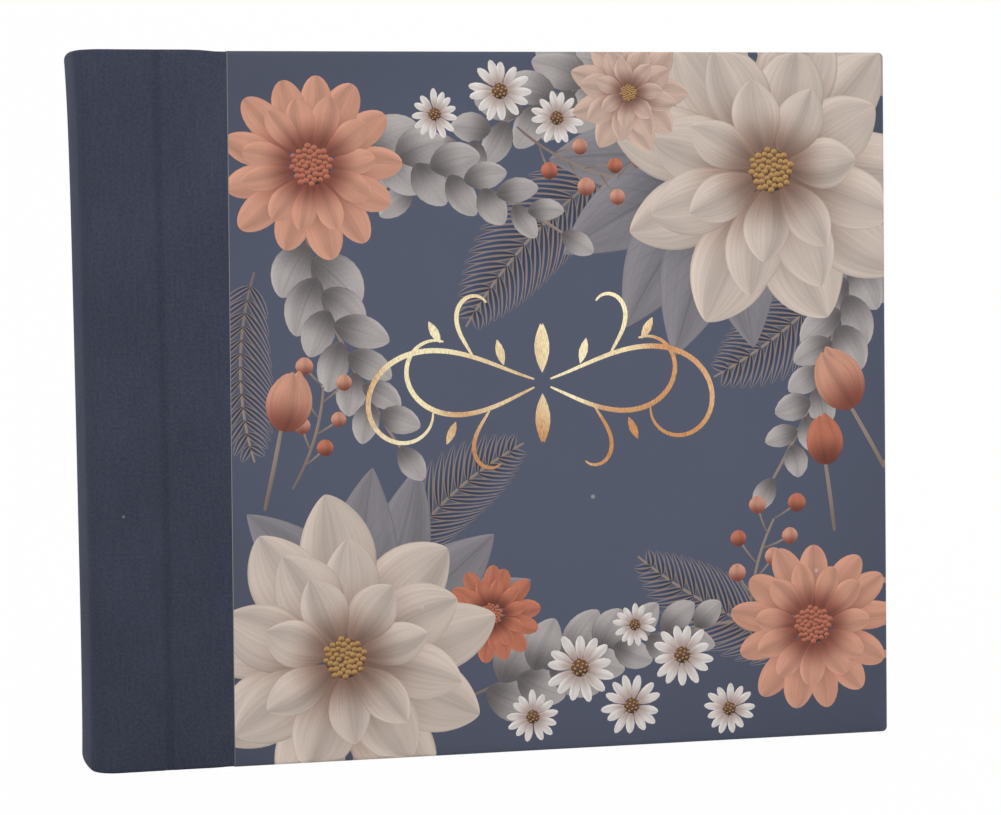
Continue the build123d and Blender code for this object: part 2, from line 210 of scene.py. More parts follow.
def ramp(tree, value, low, high, to_low=0.0, to_high=1.0):
    """Eases a value from one range into another, and stops at both ends."""
    inputs = {"Value": value, "From Min": low, "From Max": high, "To Min": to_low, "To Max": to_high}
    return add(tree, "ShaderNodeMapRange", inputs, interpolation_type="SMOOTHSTEP").outputs["Result"]


print("node helpers ready, mid grey is", round(screen(128, 128, 128)[0], 3))

# %% [markdown]
# The background has to be white without pouring more light on the book. The Light Path node tells a
# ray that comes from the camera, or that a shiny surface sends out, from one that carries light. The
# first kind sees white. The second meets an ordinary pale sweep, and the book's shadow still falls.
# Every material starts from the Principled shader. What is the same all over a surface is written on
# the shader's own socket, and only what changes over the surface comes from nodes.

# %% White studio
sky_strength = 0.44
sweep_white = 0.985
sweep_grey = screen(236, 236, 236)


def new_material(name, **constants):
    """A material with a Principled shader whose constant sockets are set in place."""
    material = bpy.data.materials.new(name)
    material.use_nodes = True
    shader = material.node_tree.nodes["Principled BSDF"]
    sockets = {socket.name.lower().replace(" ", "_"): socket for socket in shader.inputs}
    for label, value in constants.items():
        sockets[label].default_value = value
    return material, material.node_tree, shader


def seen_directly(tree):
    """1 for rays that show the background as it is, and 0 for rays that carry its light."""
    path = tree.nodes.new("ShaderNodeLightPath").outputs
    mirrored = calc(tree, "MAXIMUM", path["Is Glossy Ray"], path["Is Transmission Ray"])
    return calc(tree, "MAXIMUM", path["Is Camera Ray"], mirrored)


world = bpy.data.worlds.new("studio_sky")
bpy.context.scene.world = world
world.use_nodes = True
tree = world.node_tree
sky = tree.nodes["Background"]
sky.inputs["Color"].default_value = (1, 1, 1, 1)
feed(tree, sky.inputs["Strength"], ramp(tree, seen_directly(tree), 0, 1, sky_strength, 1.0))

pale_sweep, tree, shader = new_material("pale_sweep", base_color=sweep_grey, roughness=0.9)
glow = add(tree, "ShaderNodeEmission", {"Color": (1, 1, 1, 1), "Strength": 1.0})
share = calc(tree, "MULTIPLY", seen_directly(tree), sweep_white)
mixed = add(tree, "ShaderNodeMixShader", {0: share, 1: shader.outputs[0], 2: glow.outputs[0]})
tree.links.new(mixed.outputs[0], tree.nodes["Material Output"].inputs["Surface"])
sweep.data.materials.append(pale_sweep)
print("studio", world.name, pale_sweep.name)

# %% [markdown]
# An effect that several finishes share is a node group: a small tree with named sockets, built once and
# placed in each material with its own values. Most of these effects come from noise. Noise that is
# stretched in one direction reads as fibres, brushing or yarn.


# %% Group helpers
def new_group(name, inputs, outputs):
    """An empty node group with named sockets, and its inner ends."""
    tree = bpy.data.node_groups.new(name, "ShaderNodeTree")
    for label, kind in inputs.items():
        tree.interface.new_socket(label, in_out="INPUT", socket_type=f"NodeSocket{kind}")
    for label, kind in outputs.items():
        tree.interface.new_socket(label, in_out="OUTPUT", socket_type=f"NodeSocket{kind}")
    return tree, tree.nodes.new("NodeGroupInput").outputs, tree.nodes.new("NodeGroupOutput").inputs


def object_place(tree):
    """The place on the piece, in metres."""
    return tree.nodes.new("ShaderNodeTexCoord").outputs["Object"]


def parts_of(tree, vector):
    """The three parts of a vector, each as an output."""
    return add(tree, "ShaderNodeSeparateXYZ", {"Vector": vector}).outputs


def noise(tree, place, scale, detail):
    """Soft noise about 0.5."""
    return add(tree, "ShaderNodeTexNoise", {"Vector": place, "Scale": scale, "Detail": detail}).outputs[0]


def stretched_noise(tree, place, scales, detail):
    """Noise with a scale of its own along each axis."""
    mapping = add(tree, "ShaderNodeMapping", {"Vector": place, "Scale": scales})
    return noise(tree, mapping.outputs[0], 1.0, detail)


def mix_values(tree, share, first, second):
    """A value between two others, by a share from 0 to 1."""
    return add(tree, "ShaderNodeMix", {0: share, 2: first, 3: second}).outputs[0]


print("group helpers ready:", new_group.__name__, noise.__name__, stretched_noise.__name__)

# %% [markdown]
# Paper is never quite even: the pulp shows as a soft cloud, and the surface has a fine tooth. Several
# papers in this book share that effect, so it is one group with a strength for each of the two.

# %% Paper grain group
tooth_scale, cloud_scale = 2600.0, 90.0
paper_grain, ends, out = new_group(
    "paper_grain", {"Tooth": "Float", "Cloud": "Float"}, {"Shade": "Float", "Height": "Float"}
)
place = object_place(paper_grain)
tooth = noise(paper_grain, place, tooth_scale, 3.0)
cloud = noise(paper_grain, place, cloud_scale, 2.0)
tooth_part = calc(paper_grain, "MULTIPLY", calc(paper_grain, "SUBTRACT", tooth, 0.5), ends["Tooth"])
cloud_part = calc(paper_grain, "MULTIPLY", calc(paper_grain, "SUBTRACT", cloud, 0.5), ends["Cloud"])
both = calc(paper_grain, "ADD", tooth_part, cloud_part)
feed(paper_grain, out["Shade"], calc(paper_grain, "ADD", both, 1.0))
feed(paper_grain, out["Height"], tooth)
print("group", paper_grain.name)

# %% [markdown]
# Bookcloth is a fine twill. Each thread goes over two others and under one, one step further along in
# every row, which draws the fine diagonal that one sees. The cloth's own map counts in metres along and
# across the strip, so the weave follows the bend of the spine. Wear and glue flatten the diagonal in
# patches, and no two yarns take the dye alike.

# %% Woven threads group
woven_threads, ends, out = new_group(
    "woven_threads",
    {"Threads": "Vector", "Pitch": "Float"},
    {"Shade": "Float", "Height": "Float", "Dye": "Float"},
)
yarns_to_repeat = 3
relief_contrast, relief_middle = 0.9, 0.51
wear_scale = 75.0
slub_scales = (1500.0, 120.0, 1.0)
dye_scales = (1500.0, 1500.0, 1.0)


def yarn_round(tree, count):
    """The round back of each yarn, from 0 between yarns to 1 on top."""
    return calc(tree, "ABSOLUTE", calc(tree, "SINE", calc(tree, "MULTIPLY", count, math.pi)))


def twill_relief(tree, warp, weft):
    """The height of the cloth: the warp's round back where it floats over, the weft's where it goes under."""
    diagonal = calc(tree, "MULTIPLY", calc(tree, "SUBTRACT", warp, weft), 2 * math.pi / yarns_to_repeat)
    warp_over = calc(tree, "MULTIPLY_ADD", calc(tree, "SINE", diagonal), 0.5, 0.5)
    warp_back = calc(tree, "MULTIPLY_ADD", yarn_round(tree, warp), 0.35, 0.65)
    weft_back = calc(tree, "MULTIPLY", yarn_round(tree, weft), 0.4)
    return mix_values(tree, warp_over, weft_back, warp_back)


tree = woven_threads
u, v, _ = parts_of(tree, ends["Threads"])
relief = twill_relief(tree, calc(tree, "DIVIDE", u, ends["Pitch"]), calc(tree, "DIVIDE", v, ends["Pitch"]))
worn = noise(tree, object_place(tree), wear_scale, 2.0)
crisp = ramp(tree, worn, 0.36, 0.64, 0.4, 1.1)
contrast = calc(tree, "MULTIPLY_ADD", relief, relief_contrast, -relief_middle)
slub = stretched_noise(tree, ends["Threads"], slub_scales, 2.0)
slub_shade = ramp(tree, slub, 0.3, 0.7, 0.95, 1.05)
feed(tree, out["Shade"], calc(tree, "ADD", calc(tree, "MULTIPLY", contrast, crisp), slub_shade))
feed(tree, out["Height"], relief)
feed(tree, out["Dye"], ramp(tree, stretched_noise(tree, ends["Threads"], dye_scales, 2.0), 0.28, 0.72))
print("group", woven_threads.name)

# %% [markdown]
# Things that are handled gather small pale specks: lint on cloth, dust on board, pinholes in print.
# Voronoi cells give evenly scattered points, and each cell's own random colour picks a few of them.

# %% Stray specks group
stray_specks, ends, out = new_group("stray_specks", {"Scale": "Float", "Rarity": "Float"}, {"Mask": "Float"})
cells = add(
    stray_specks, "ShaderNodeTexVoronoi", {"Vector": object_place(stray_specks), "Scale": ends["Scale"]}
).outputs
lot = add(stray_specks, "ShaderNodeSeparateColor", {"Color": cells["Color"]}).outputs[0]
chosen = calc(stray_specks, "GREATER_THAN", lot, ends["Rarity"])
speck = ramp(stray_specks, cells["Distance"], 0.04, 0.16, 1.0, 0.0)
feed(stray_specks, out["Mask"], calc(stray_specks, "MULTIPLY", speck, chosen))
print("group", stray_specks.name)

# %% [markdown]
# A finish is put together from such effects, with a few more helpers: to mix and scale colours, to place
# a group, to read a map of the mesh, and to turn a height into a bump that the light falls on.


# %% Material helpers
def blend_colours(tree, share, first, second):
    """Mixes two colours by a share from 0 to 1."""
    node = add(tree, "ShaderNodeMix", {0: share, 6: first, 7: second}, data_type="RGBA")
    return node.outputs[2]


def tint(tree, colour, amount):
    """Scales a colour by a value."""
    rgb = colour[:3] if isinstance(colour, tuple) else colour
    return add(tree, "ShaderNodeVectorMath", {0: rgb, "Scale": amount}, operation="SCALE").outputs[0]


def use_group(tree, group, **inputs):
    """Places a group in a material, with its own values."""
    node = tree.nodes.new("ShaderNodeGroup")
    node.node_tree = group
    for name, value in inputs.items():
        feed(tree, node.inputs[name.title()], value)
    return node.outputs


def uv_map(tree, name):
    """A place on one of the piece's own maps."""
    return add(tree, "ShaderNodeUVMap", uv_map=name).outputs[0]


def raise_bump(tree, shader, height, distance, strength):
    """Feeds a height into the shader's normal through a Bump node."""
    bump = add(tree, "ShaderNodeBump", {"Height": height, "Distance": distance, "Strength": strength})
    tree.links.new(bump.outputs["Normal"], shader.inputs["Normal"])


print("material helpers ready:", use_group.__name__, raise_bump.__name__)

# %% [markdown]
# The bookcloth material lays the weave over a navy whose yarns differ a little, cooler and warmer, and
# that has faded unevenly in patches. Painted light makes the cloth lighter towards the head and darker
# towards the tail. It adds a few specks of lint and a little sheen, which brightens cloth where it turns
# away from the eye. Along the hinge a painted shade darkens the cloth over the crease.

# %% Bookcloth material
thread_pitch = 0.18 * mm
# Painted shade over the hinge crease: its half width, and how dark it is in the middle.
crease_half_width = 1.7 * mm
crease_shade_level = 0.86
# Painted light: how dark the cloth is at the tail and how light it is at the head.
painted_light_at_tail, painted_light_at_head = 0.93, 1.13
cool_navy, warm_navy = screen(56, 65, 85), screen(72, 72, 84)
lint_grey = screen(150, 152, 160)
bookcloth, tree, shader = new_material(
    "bookcloth",
    sheen_weight=0.1,
    sheen_roughness=0.45,
    sheen_tint=screen(150, 158, 180),
    specular_ior_level=0.1,
)
place = object_place(tree)
weave = use_group(tree, woven_threads, threads=uv_map(tree, "threads"), pitch=thread_pitch)
from_crease = calc(tree, "ABSOLUTE", parts_of(tree, uv_map(tree, "hinge"))[0])
# Painted shade: the cloth darkens towards the crease.
painted_crease_shade = ramp(tree, from_crease, 0.1 * mm, crease_half_width, crease_shade_level, 1.0)
patchy = ramp(tree, noise(tree, place, 35.0, 3.0), 0.3, 0.7, 0.92, 1.08)
# Painted light: the cloth grows lighter from tail to head.
painted_head_light = ramp(tree, parts_of(tree, place)[2], 0.0, book_height, painted_light_at_tail, painted_light_at_head)
# faded holds the random patches together with the painted light towards the head.
faded = calc(tree, "MULTIPLY", patchy, painted_head_light)
navy = blend_colours(tree, weave["Dye"], cool_navy, warm_navy)
woven = tint(tree, navy, calc(tree, "MULTIPLY", calc(tree, "MULTIPLY", faded, painted_crease_shade), weave["Shade"]))
lint = calc(tree, "MULTIPLY", use_group(tree, stray_specks, scale=300.0, rarity=0.975)["Mask"], 0.6)
tree.links.new(blend_colours(tree, lint, woven, lint_grey), shader.inputs["Base Color"])
tree.links.new(ramp(tree, weave["Height"], 0.0, 1.0, 0.92, 0.72), shader.inputs["Roughness"])
raise_bump(tree, shader, weave["Height"], 0.04 * mm, 0.7)
print("material", bookcloth.name)

# %% [markdown]
# The real cloth is one strip, about as wide as the spine and both its hinges, glued over spine and
# boards and turned in at head and tail. It bends at two hinges, so it is made in two halves that meet
# on the crown of the spine. Each half starts as a flat grid, as cloth does, and a formula lays it over
# the case: along the path below, and round the head and tail at every step of that path. A simulation
# would leave folds, and this cloth is glued down without any.

# %% Path of the cloth over one hinge
spine_bulge = 7.3 * mm
shoulder_radius = 6.3 * mm
paper_lap = 4.0 * mm
crease_span = 4.0 * mm
cover_spacing, crease_spacing, spine_spacing = 3.0 * mm, 0.25 * mm, 1.5 * mm
shoulder_steps, crown_steps = 10, 12
shoulder_x = x_crown + spine_bulge
shoulder_y = half_thickness - shoulder_radius
crown_radius = (spine_bulge**2 + half_thickness**2 - 2 * half_thickness * shoulder_radius) / (
    2 * (spine_bulge - shoulder_radius)
)
crown_x = x_crown + crown_radius
crown_half_angle = math.atan2(shoulder_y, crown_x - shoulder_x)


def spread(first, last, spacing):
    """Even places from first to last, about a spacing apart, without the last."""
    count = max(1, round(abs(last - first) / spacing))
    return [first + (last - first) * i / count for i in range(count)]


def arc(centre, radius, first, last, count):
    """Points of an arc in the plan of the spine, each with its inward direction."""
    points = []
    for i in range(count):
        angle = first + (last - first) * (i + 1) / count
        outward = Vector((math.cos(angle), math.sin(angle)))
        points.append((Vector(centre) + radius * outward, -outward))
    return points


def cloth_path():
    """From under the cover paper to the crown, along the back half of the case's outer face."""
    flats = spread(x_paper + paper_lap, x_crease + crease_span, cover_spacing)
    flats += spread(x_crease + crease_span, x_crease - crease_span, crease_spacing)
    flats += spread(x_crease - crease_span, shoulder_x, spine_spacing) + [shoulder_x]
    path = [(Vector((x, half_thickness)), Vector((0, -1))) for x in flats]
    crown_start = math.pi - crown_half_angle
    path += arc((shoulder_x, shoulder_y), shoulder_radius, math.pi / 2, crown_start, shoulder_steps)
    path += arc((crown_x, 0), crown_radius, crown_start, math.pi, crown_steps)
    return path


path = cloth_path()
steps = [0.0] + [(b[0] - a[0]).length for a, b in zip(path, path[1:])]
path_along = [sum(steps[: i + 1]) for i in range(len(steps))]
crease_along = x_paper + paper_lap - x_crease
print("cloth path", len(path), "points,", round(path_along[-1] / mm, 1), "mm to the crown")

# %% [markdown]
# At the hinge the cloth sinks into the gap between board and spine card. On the cover it lies a paper's
# thickness deeper than the printed paper that laps over it, on the face and at both ends. The crease on
# a used book is never a ruled line, so it bows a little. At head and tail the cloth is doubled over the
# card, so the spine stands out there by less than a millimetre, and is slightly drawn in between.

# %% How deep the cloth lies
cloth_thickness = 0.15 * mm
under_paper = cloth_thickness + 0.01 * mm
groove_depth, groove_half_width = 0.35 * mm, 1.0 * mm
crease_shift, crease_bow = 0.15 * mm, 0.35 * mm
head_flare, tail_flare, waist = 0.95 * mm, 0.45 * mm, 0.12 * mm
flare_reach = 16.0 * mm
crown_loss = 0.2
shoulder_ease, crown_ease = (4.0 * mm, 20.0 * mm), (20.0 * mm, 35.0 * mm)


def ease(value, low, high):
    """0 below low, 1 above high, smooth between."""
    share = min(1.0, max(0.0, (value - low) / (high - low)))
    return share * share * (3 - 2 * share)


def crease_at(z):
    """Where the crease runs at a height on the book."""
    off_middle = (z - book_height / 2) / (book_height / 2)
    return x_crease + crease_shift - crease_bow * off_middle**2


def flare_at(z):
    """How far the spine stands out at a height on the book."""
    at_head = head_flare * math.exp((z - book_height) / flare_reach)
    at_tail = tail_flare * math.exp(-z / flare_reach)
    return at_head + at_tail - waist


def on_spine(step):
    """0 from the cover to just past the crease, 1 on the shoulder, a little less on the crown."""
    past_crease = path_along[step] - crease_along
    return ease(past_crease, *shoulder_ease) * (1 - crown_loss * ease(past_crease, *crown_ease))


print("the spine stands out by", [round(flare_at(z) / mm, 2) for z in (0, book_height)], "mm at its ends")

# %% [markdown]
# At head and tail the strip goes round the edge and back down on the inside. On the spine it wraps only
# the card, in a round fold, and on the cover it wraps the whole board, in a tight one. Beside the paper
# the fold is free, so it stands a little higher, most of all on the crown.

# %% How the cloth turns in
spine_wrap = 2.2 * mm
cloth_turn_in = 14.0 * mm
head_round, board_fold = 0.9 * mm, 0.25 * mm
head_rise, crown_rise = 0.32 * mm, 0.35 * mm
gap_half_width, gap_lift = 0.5 * mm, 0.5 * mm
cover_ease, board_ease = (1.0 * mm, 3.0 * mm), (-0.6 * mm, 0.9 * mm)
tuck_ease, rise_ease, crown_rise_ease = (1.5 * mm, 4.0 * mm), (1.5 * mm, 8.0 * mm), (17.0 * mm, 32.0 * mm)
fold_steps = 4


def cloth_depths(step, z):
    """How deep the outer face and the turned-in flap lie below the case's face, and the flap's fold."""
    x = path[step][0].x
    groove = groove_depth * math.exp(-(((x - crease_at(z)) / groove_half_width) ** 2))
    on_board = ease(x - x_crease, *board_ease)
    in_gap = math.exp(-(((x - x_crease) / gap_half_width) ** 2))
    outer = under_paper * ease(x - x_crease, *cover_ease) + groove - flare_at(z) * on_spine(step)
    flap = spine_wrap + (wrap_depth - under_paper - spine_wrap) * on_board - gap_lift * in_gap
    return outer, flap, head_round + (board_fold - head_round) * on_board


def cloth_ends(step):
    """Heights of the folds at tail and head: tucked under the paper, and free beside it."""
    beside_paper = x_paper - path[step][0].x
    tucked = under_paper * (1 - ease(beside_paper, *tuck_ease))
    on_crown = ease(path_along[step] - crease_along, *crown_rise_ease)
    rise = head_rise * ease(beside_paper, *rise_ease) + crown_rise * on_crown
    return tucked, book_height - tucked + rise


def head_profile(outer, flap, fold):
    """Heights and depths from the edge of the flap, round the tail of the book, to the outer face."""
    bend = min(head_round, (flap - outer) / 2)
    fold = min(fold, bend)
    turns = [math.pi / 2 * i / fold_steps for i in range(fold_steps + 1)]
    profile = [(cloth_turn_in, flap), (cloth_turn_in / 2, flap), (fold, flap)]
    profile += [(fold * (1 - math.sin(turn)), flap - fold * (1 - math.cos(turn))) for turn in turns[1:]]
    profile += [(bend * (1 - math.cos(turn)), outer + bend * (1 - math.sin(turn))) for turn in turns]
    return profile


face_rows = 30
edge_points = len(head_profile(0.0, spine_wrap, head_round))
chain_points = 2 * edge_points + face_rows - 1
print("grid", len(path), "by", chain_points)

# %% [markdown]
# A Shrinkwrap modifier could lay a grid on the case, but it can't turn the cloth in and lay the flap
# flat. So each vertex is moved by the formulas above. Two maps are written on the way: one counts metres
# along and across the strip, for the weave, and one counts metres from the crease.


# %% Lay a grid over the case
def cloth_column(step):
    """Heights and depths of the whole strip from flap to flap, at one step of the path."""
    bottom, top = cloth_ends(step)
    tail = [(bottom + z, depth) for z, depth in head_profile(*cloth_depths(step, 0.0))]
    head = [(top - z, depth) for z, depth in reversed(head_profile(*cloth_depths(step, book_height)))]
    low, high = tail[-1][0], head[0][0]
    face = [low + (high - low) * i / face_rows for i in range(1, face_rows)]
    return tail + [(z, cloth_depths(step, z)[0]) for z in face] + head


def column_lengths(column):
    """How far each point of a column lies along the cloth, from the edge of the lower flap."""
    lengths = [0.0]
    for (z0, d0), (z1, d1) in zip(column, column[1:]):
        lengths.append(lengths[-1] + math.hypot(z1 - z0, d1 - d0))
    return lengths


def map_cloth(cloth, side, cells, lengths):
    """Writes the map of the threads, which runs on from half to half, and the map of the hinge."""
    threads = cloth.data.uv_layers.new(name="threads")
    hinge = cloth.data.uv_layers.new(name="hinge")
    for loop in cloth.data.loops:
        step, row = cells[loop.vertex_index]
        along = path_along[step] if side < 0 else 2 * path_along[-1] - path_along[step]
        threads.data[loop.index].uv = (along, lengths[row])
        hinge.data[loop.index].uv = (path_along[step] - crease_along, 0.0)


def lay_cloth(name, side):
    """One half of the strip: side is -1 over the front hinge and 1 over the back hinge."""
    bpy.ops.object.select_all(action="DESELECT")
    across, up = len(path) - 1, chain_points - 1
    bpy.ops.mesh.primitive_grid_add(x_subdivisions=across, y_subdivisions=up, size=1.0)
    cloth = bpy.context.object
    cloth.name = name
    columns = [cloth_column(step) for step in range(len(path))]
    cells = []
    for vertex in cloth.data.vertices:
        step, row = round((vertex.co.x + 0.5) * across), round((vertex.co.y + 0.5) * up)
        (point, inward), (z, depth) = path[step], columns[step][row]
        spot = point + depth * inward
        vertex.co = (spot.x, side * spot.y, z)
        cells.append((step, row))
    lengths = column_lengths(columns[-1])
    map_cloth(cloth, side, cells, lengths)
    return cloth, lengths[-1]


print("the strip folds at", [round(z / mm, 2) for z in cloth_ends(-1)], "mm on the crown")

# %% [markdown]
# The Solidify modifier gives the sheet its thickness. It goes on the inside, so the outer face stays where
# the formulas put it. Smoothing stops at an angle, so that the cloth's cut edges stay crisp.

# %% Give the cloth its thickness
smooth_below = math.radians(50)


def face_outwards(sheet, place, direction):
    """Turns a sheet's faces over if the one nearest a place doesn't look in a direction."""
    nearest = min(sheet.data.polygons, key=lambda face: (face.center - Vector(place)).length)
    if nearest.normal.dot(Vector(direction)) < 0:
        sheet.data.flip_normals()


def thicken(sheet, thickness):
    """Gives a sheet its thickness on the inside of its faces."""
    bpy.context.view_layer.objects.active = sheet
    solid = sheet.modifiers.new("thickness", "SOLIDIFY")
    solid.thickness = thickness
    solid.offset = -1.0
    bpy.ops.object.modifier_apply(modifier=solid.name)


cloth_pieces = {}
for side, cover in ((-1, "front"), (1, "back")):
    cloth, strip_length = lay_cloth(f"{cover}_bookcloth", side)
    face_outwards(cloth, (x_paper, side * half_thickness, book_height / 2), (0, side, 0))
    thicken(cloth, cloth_thickness)
    bpy.ops.object.shade_smooth_by_angle(angle=smooth_below)
    cloth.data.materials.append(bookcloth)
    cloth_pieces[cover] = cloth
    print(cloth.name, "faces", len(cloth.data.polygons), "strip", round(strip_length / mm, 1), "mm long")

# %% [markdown]
# Each half has its place applied to its mesh. The frame's spine cloth and hinge cloths, which the new
# strip stands for, are hidden.

# %% Put the new cloth in place of the frame's
for cover, cloth in cloth_pieces.items():
    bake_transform(cloth)
    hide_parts(f"{cover}_hinge_cloth", "spine_cloth")
print("half strip", round(path_along[-1] / mm, 1), "x", round(strip_length / mm, 1), "mm")

# %% [markdown]
# The cover paper carries a printed bouquet. Its print could be an image, but an image is a file, and this
# script reads none. So the print is drawn the way a paper cutter would: each petal, leaf, stem and berry
# is one outline with a bent midrib, and the sheet of paper is cut along all of the outlines at once. The
# topmost outline owns each piece of the sheet and gives it its colours. Everything is one formula, a
# midrib that bends along an arc and a width that swells and closes again along it.

# %% The outline of a petal
point_spacing = 1.3
fewest_points, most_points = 6, 24


def petal_point(motif, along, across):
    """The place of a point that lies along the bent midrib and out to one side of it."""
    bend = motif["bend"]
    reach = 1 / bend - across
    local = Vector((reach * math.sin(along * bend), 1 / bend - reach * math.cos(along * bend)))
    return motif["at"] + motif["length"] * (Matrix.Rotation(motif["heading"], 2) @ local)


def petal_half(motif, share):
    """Half the petal's width at a share of its length, in its own measure."""
    swell = max(0.0, math.sin(math.pi * share ** motif["fullness"]))
    return motif["half_width"] * swell ** motif["blunt"]


def petal_outline(motif):
    """Points round a petal, out along one side of its midrib and back along the other."""
    count = min(most_points, max(fewest_points, round(motif["length"] / point_spacing)))
    shares = [0.5 - 0.5 * math.cos(math.pi * i / count) for i in range(count + 1)]
    right = [petal_point(motif, share, -petal_half(motif, share)) for share in shares]
    left = [petal_point(motif, share, petal_half(motif, share)) for share in shares[1:-1]]
    return right + left[::-1]


print("a petal has up to", 2 * most_points, "points")

# %% [markdown]
# A petal is drawn with a foot, a heading, a length and a width. The rest of its form has plain values that
# each kind of flower changes: how it bends, where it is widest, how blunt it ends, how strong its veins
# are and whether they slant, how dark its foot is, and whether it is drawn in lines. A die with a fixed
# seed lets petals differ, and throws the same numbers in every run.

# %% A petal is the shape behind every motif
motifs = []
dice = random.Random(11)
least_bend = 1.0
plain_petal = {
    "bend": 3.0,
    "fullness": 1.0,
    "blunt": 0.6,
    "vein": 0.4,
    "slant": 0.0,
    "shade": 0.4,
    "line": 0.0,
}


def shape_petal(at, heading, length, half_width, colours, **form):
    """A petal's form and outline: its foot and sizes are in mm, its heading and bend in degrees."""
    motif = {**plain_petal, **form, "at": Vector(at), "length": length, "colours": colours, "foil": False}
    motif["heading"] = math.radians(heading)
    motif["half_width"] = half_width / length
    motif["bend"] = math.radians(motif["bend"] if abs(motif["bend"]) > least_bend else least_bend)
    motif["seed"] = dice.random()
    motif["outline"] = petal_outline(motif)
    return motif


def petal(*measures, **form):
    """Shapes a petal and lays it on top of the motifs so far."""
    motifs.append(shape_petal(*measures, **form))
    return motifs[-1]


def polar(at, heading, distance):
    """The point at a distance from another, in a direction in degrees."""
    angle = math.radians(heading)
    return Vector(at) + distance * Vector((math.cos(angle), math.sin(angle)))


def about(value, spread_share=0.1):
    """A value that varies a little from one motif to the next."""
    return value * dice.uniform(1 - spread_share, 1 + spread_share)


print("petals are drawn with", petal.__name__, "from", list(plain_petal))

# %% [markdown]
# The print has few colours, as a good print has: creams and terracottas for the flowers, greys for the
# leaves, and dark blues that stand back into the ground. Each is a pair, one for the foot of a petal and
# one for its tip.

# %% Colours of the print
cream = (screen(170, 132, 114), screen(216, 200, 188))
blush = (screen(164, 114, 98), screen(214, 184, 168))
terracotta = (screen(164, 90, 74), screen(216, 158, 134))
rust = (screen(142, 72, 56), screen(200, 122, 96))
snow = (screen(206, 182, 174), screen(238, 231, 227))
ash = (screen(118, 111, 112), screen(184, 177, 176))
slate = (screen(84, 86, 96), screen(140, 136, 142))
indigo = (screen(50, 60, 86), screen(66, 80, 110))
bark = (screen(126, 112, 104), screen(152, 136, 124))
honey = (screen(120, 82, 50), screen(198, 156, 96))
umber = (screen(70, 50, 44), screen(112, 80, 62))
print("a cream petal has the foot", [round(part, 2) for part in cream[0][:3]])

# %% [markdown]
# Flowers are a few loops. A full flower is rings of petals laid from the outermost in, as they would
# overlap. Each ring says where its petals start and end, as shares of the flower's radius, how many there
# are, and half their width. The dotted middle lies on the spiral that a sunflower has.

# %% Full and open flowers
golden_turn = 137.5
middle_dot = 0.15
dahlia_rings = ((0.12, 1.00, 9, 0.235), (0.10, 0.80, 8, 0.20), (0.08, 0.56, 7, 0.145))
dahlia_petal = {"fullness": 1.2, "blunt": 0.68, "vein": 0.5, "shade": 0.6}
dahlia_middle, dahlia_dots = 0.13, 44
gerbera_rings = ((0.2, 1.0, 13, 0.19), (0.18, 0.74, 11, 0.15))
gerbera_petal = {"fullness": 1.4, "blunt": 0.5, "vein": 0.5, "shade": 0.55}
gerbera_middle, gerbera_dots = 0.22, 44


def dot(at, radius, colours, shade=0.2):
    """A small round motif."""
    petal(polar(at, 90, -radius), 90, 2 * radius, radius, colours, blunt=0.5, vein=0.0, shade=shade)


def middle(at, radius, colours, count):
    """The dotted middle of a flower."""
    dot(at, radius, umber)
    for i in range(count):
        spot = polar(at, golden_turn * i, radius * math.sqrt((i + 0.5) / count))
        dot(spot, about(radius * middle_dot), colours)


def ring_of_petals(at, radius, ring, colours, form, turn, stray, most_bend):
    """One ring of petals. Headings stray, and petals bend, by up to so many degrees either way."""
    inner, outer, count, half = ring
    for i in range(count):
        heading = turn + 360 * i / count + dice.uniform(-stray, stray)
        length = about((outer - inner) * radius, 0.06)
        foot = polar(at, heading, inner * radius)
        half_width = about(half * radius)
        petal(foot, heading, length, half_width, colours, bend=dice.uniform(-most_bend, most_bend), **form)


def dahlia(at, radius, colours, turn):
    """A full flower of three rings of broad pointed petals, each over the gaps of the last."""
    for number, ring in enumerate(dahlia_rings):
        half_step = 180 / ring[2] * (number % 2)
        ring_of_petals(at, radius, ring, colours, dahlia_petal, turn + half_step, stray=5, most_bend=20)
    middle(at, dahlia_middle * radius, honey, dahlia_dots)


def gerbera(at, radius, colours, turn):
    """An open flower of two rings of round-ended petals."""
    for ring in gerbera_rings:
        ring_of_petals(at, radius, ring, colours, gerbera_petal, turn, stray=4, most_bend=12)
    middle(at, gerbera_middle * radius, rust, gerbera_dots)


print("flowers:", dahlia.__name__, gerbera.__name__)

# %% [markdown]
# The same petal with other numbers gives the small flowers: a daisy of narrow white petals, and a closed
# tulip seen from the side, whose petals lean out from one foot.

# %% Small flowers
daisy_petals, daisy_dots = 13, 14
daisy_start, daisy_half, daisy_middle = 0.2, 0.15, 0.27
daisy_petal = {"fullness": 1.3, "blunt": 0.5, "vein": 0.35, "shade": 0.3}
twig_form = {"blunt": 0.12, "vein": 0, "shade": 0}
tulip_leans = ((-24, 0.94), (24, 0.94), (-9, 1.0), (10, 0.96))
tulip_petal = {"fullness": 0.85, "blunt": 0.75, "vein": 0.6, "shade": 0.55}
tulip_half = 0.25
tulip_stem_start, tulip_stem_length, tulip_stem_half = 1.3, 1.4, 0.5


def daisy(at, radius):
    """A small white flower."""
    turn = dice.uniform(0, 30)
    for i in range(daisy_petals):
        heading = turn + 360 * i / daisy_petals + dice.uniform(-5, 5)
        foot = polar(at, heading, daisy_start * radius)
        length = about((1 - daisy_start) * radius)
        petal(foot, heading, length, daisy_half * radius, snow, **daisy_petal)
    middle(at, daisy_middle * radius, honey, daisy_dots)


def tulip(at, heading, length, colours):
    """A closed flower from the side, on a short stem."""
    foot = polar(at, heading, -tulip_stem_start * length)
    petal(foot, heading, tulip_stem_length * length, tulip_stem_half, bark, **twig_form)
    for lean, size in tulip_leans:
        measures = (heading + lean, length * size, tulip_half * length)
        petal(at, *measures, colours, bend=-1.4 * lean, **tulip_petal)


print("small flowers:", daisy.__name__, tulip.__name__)

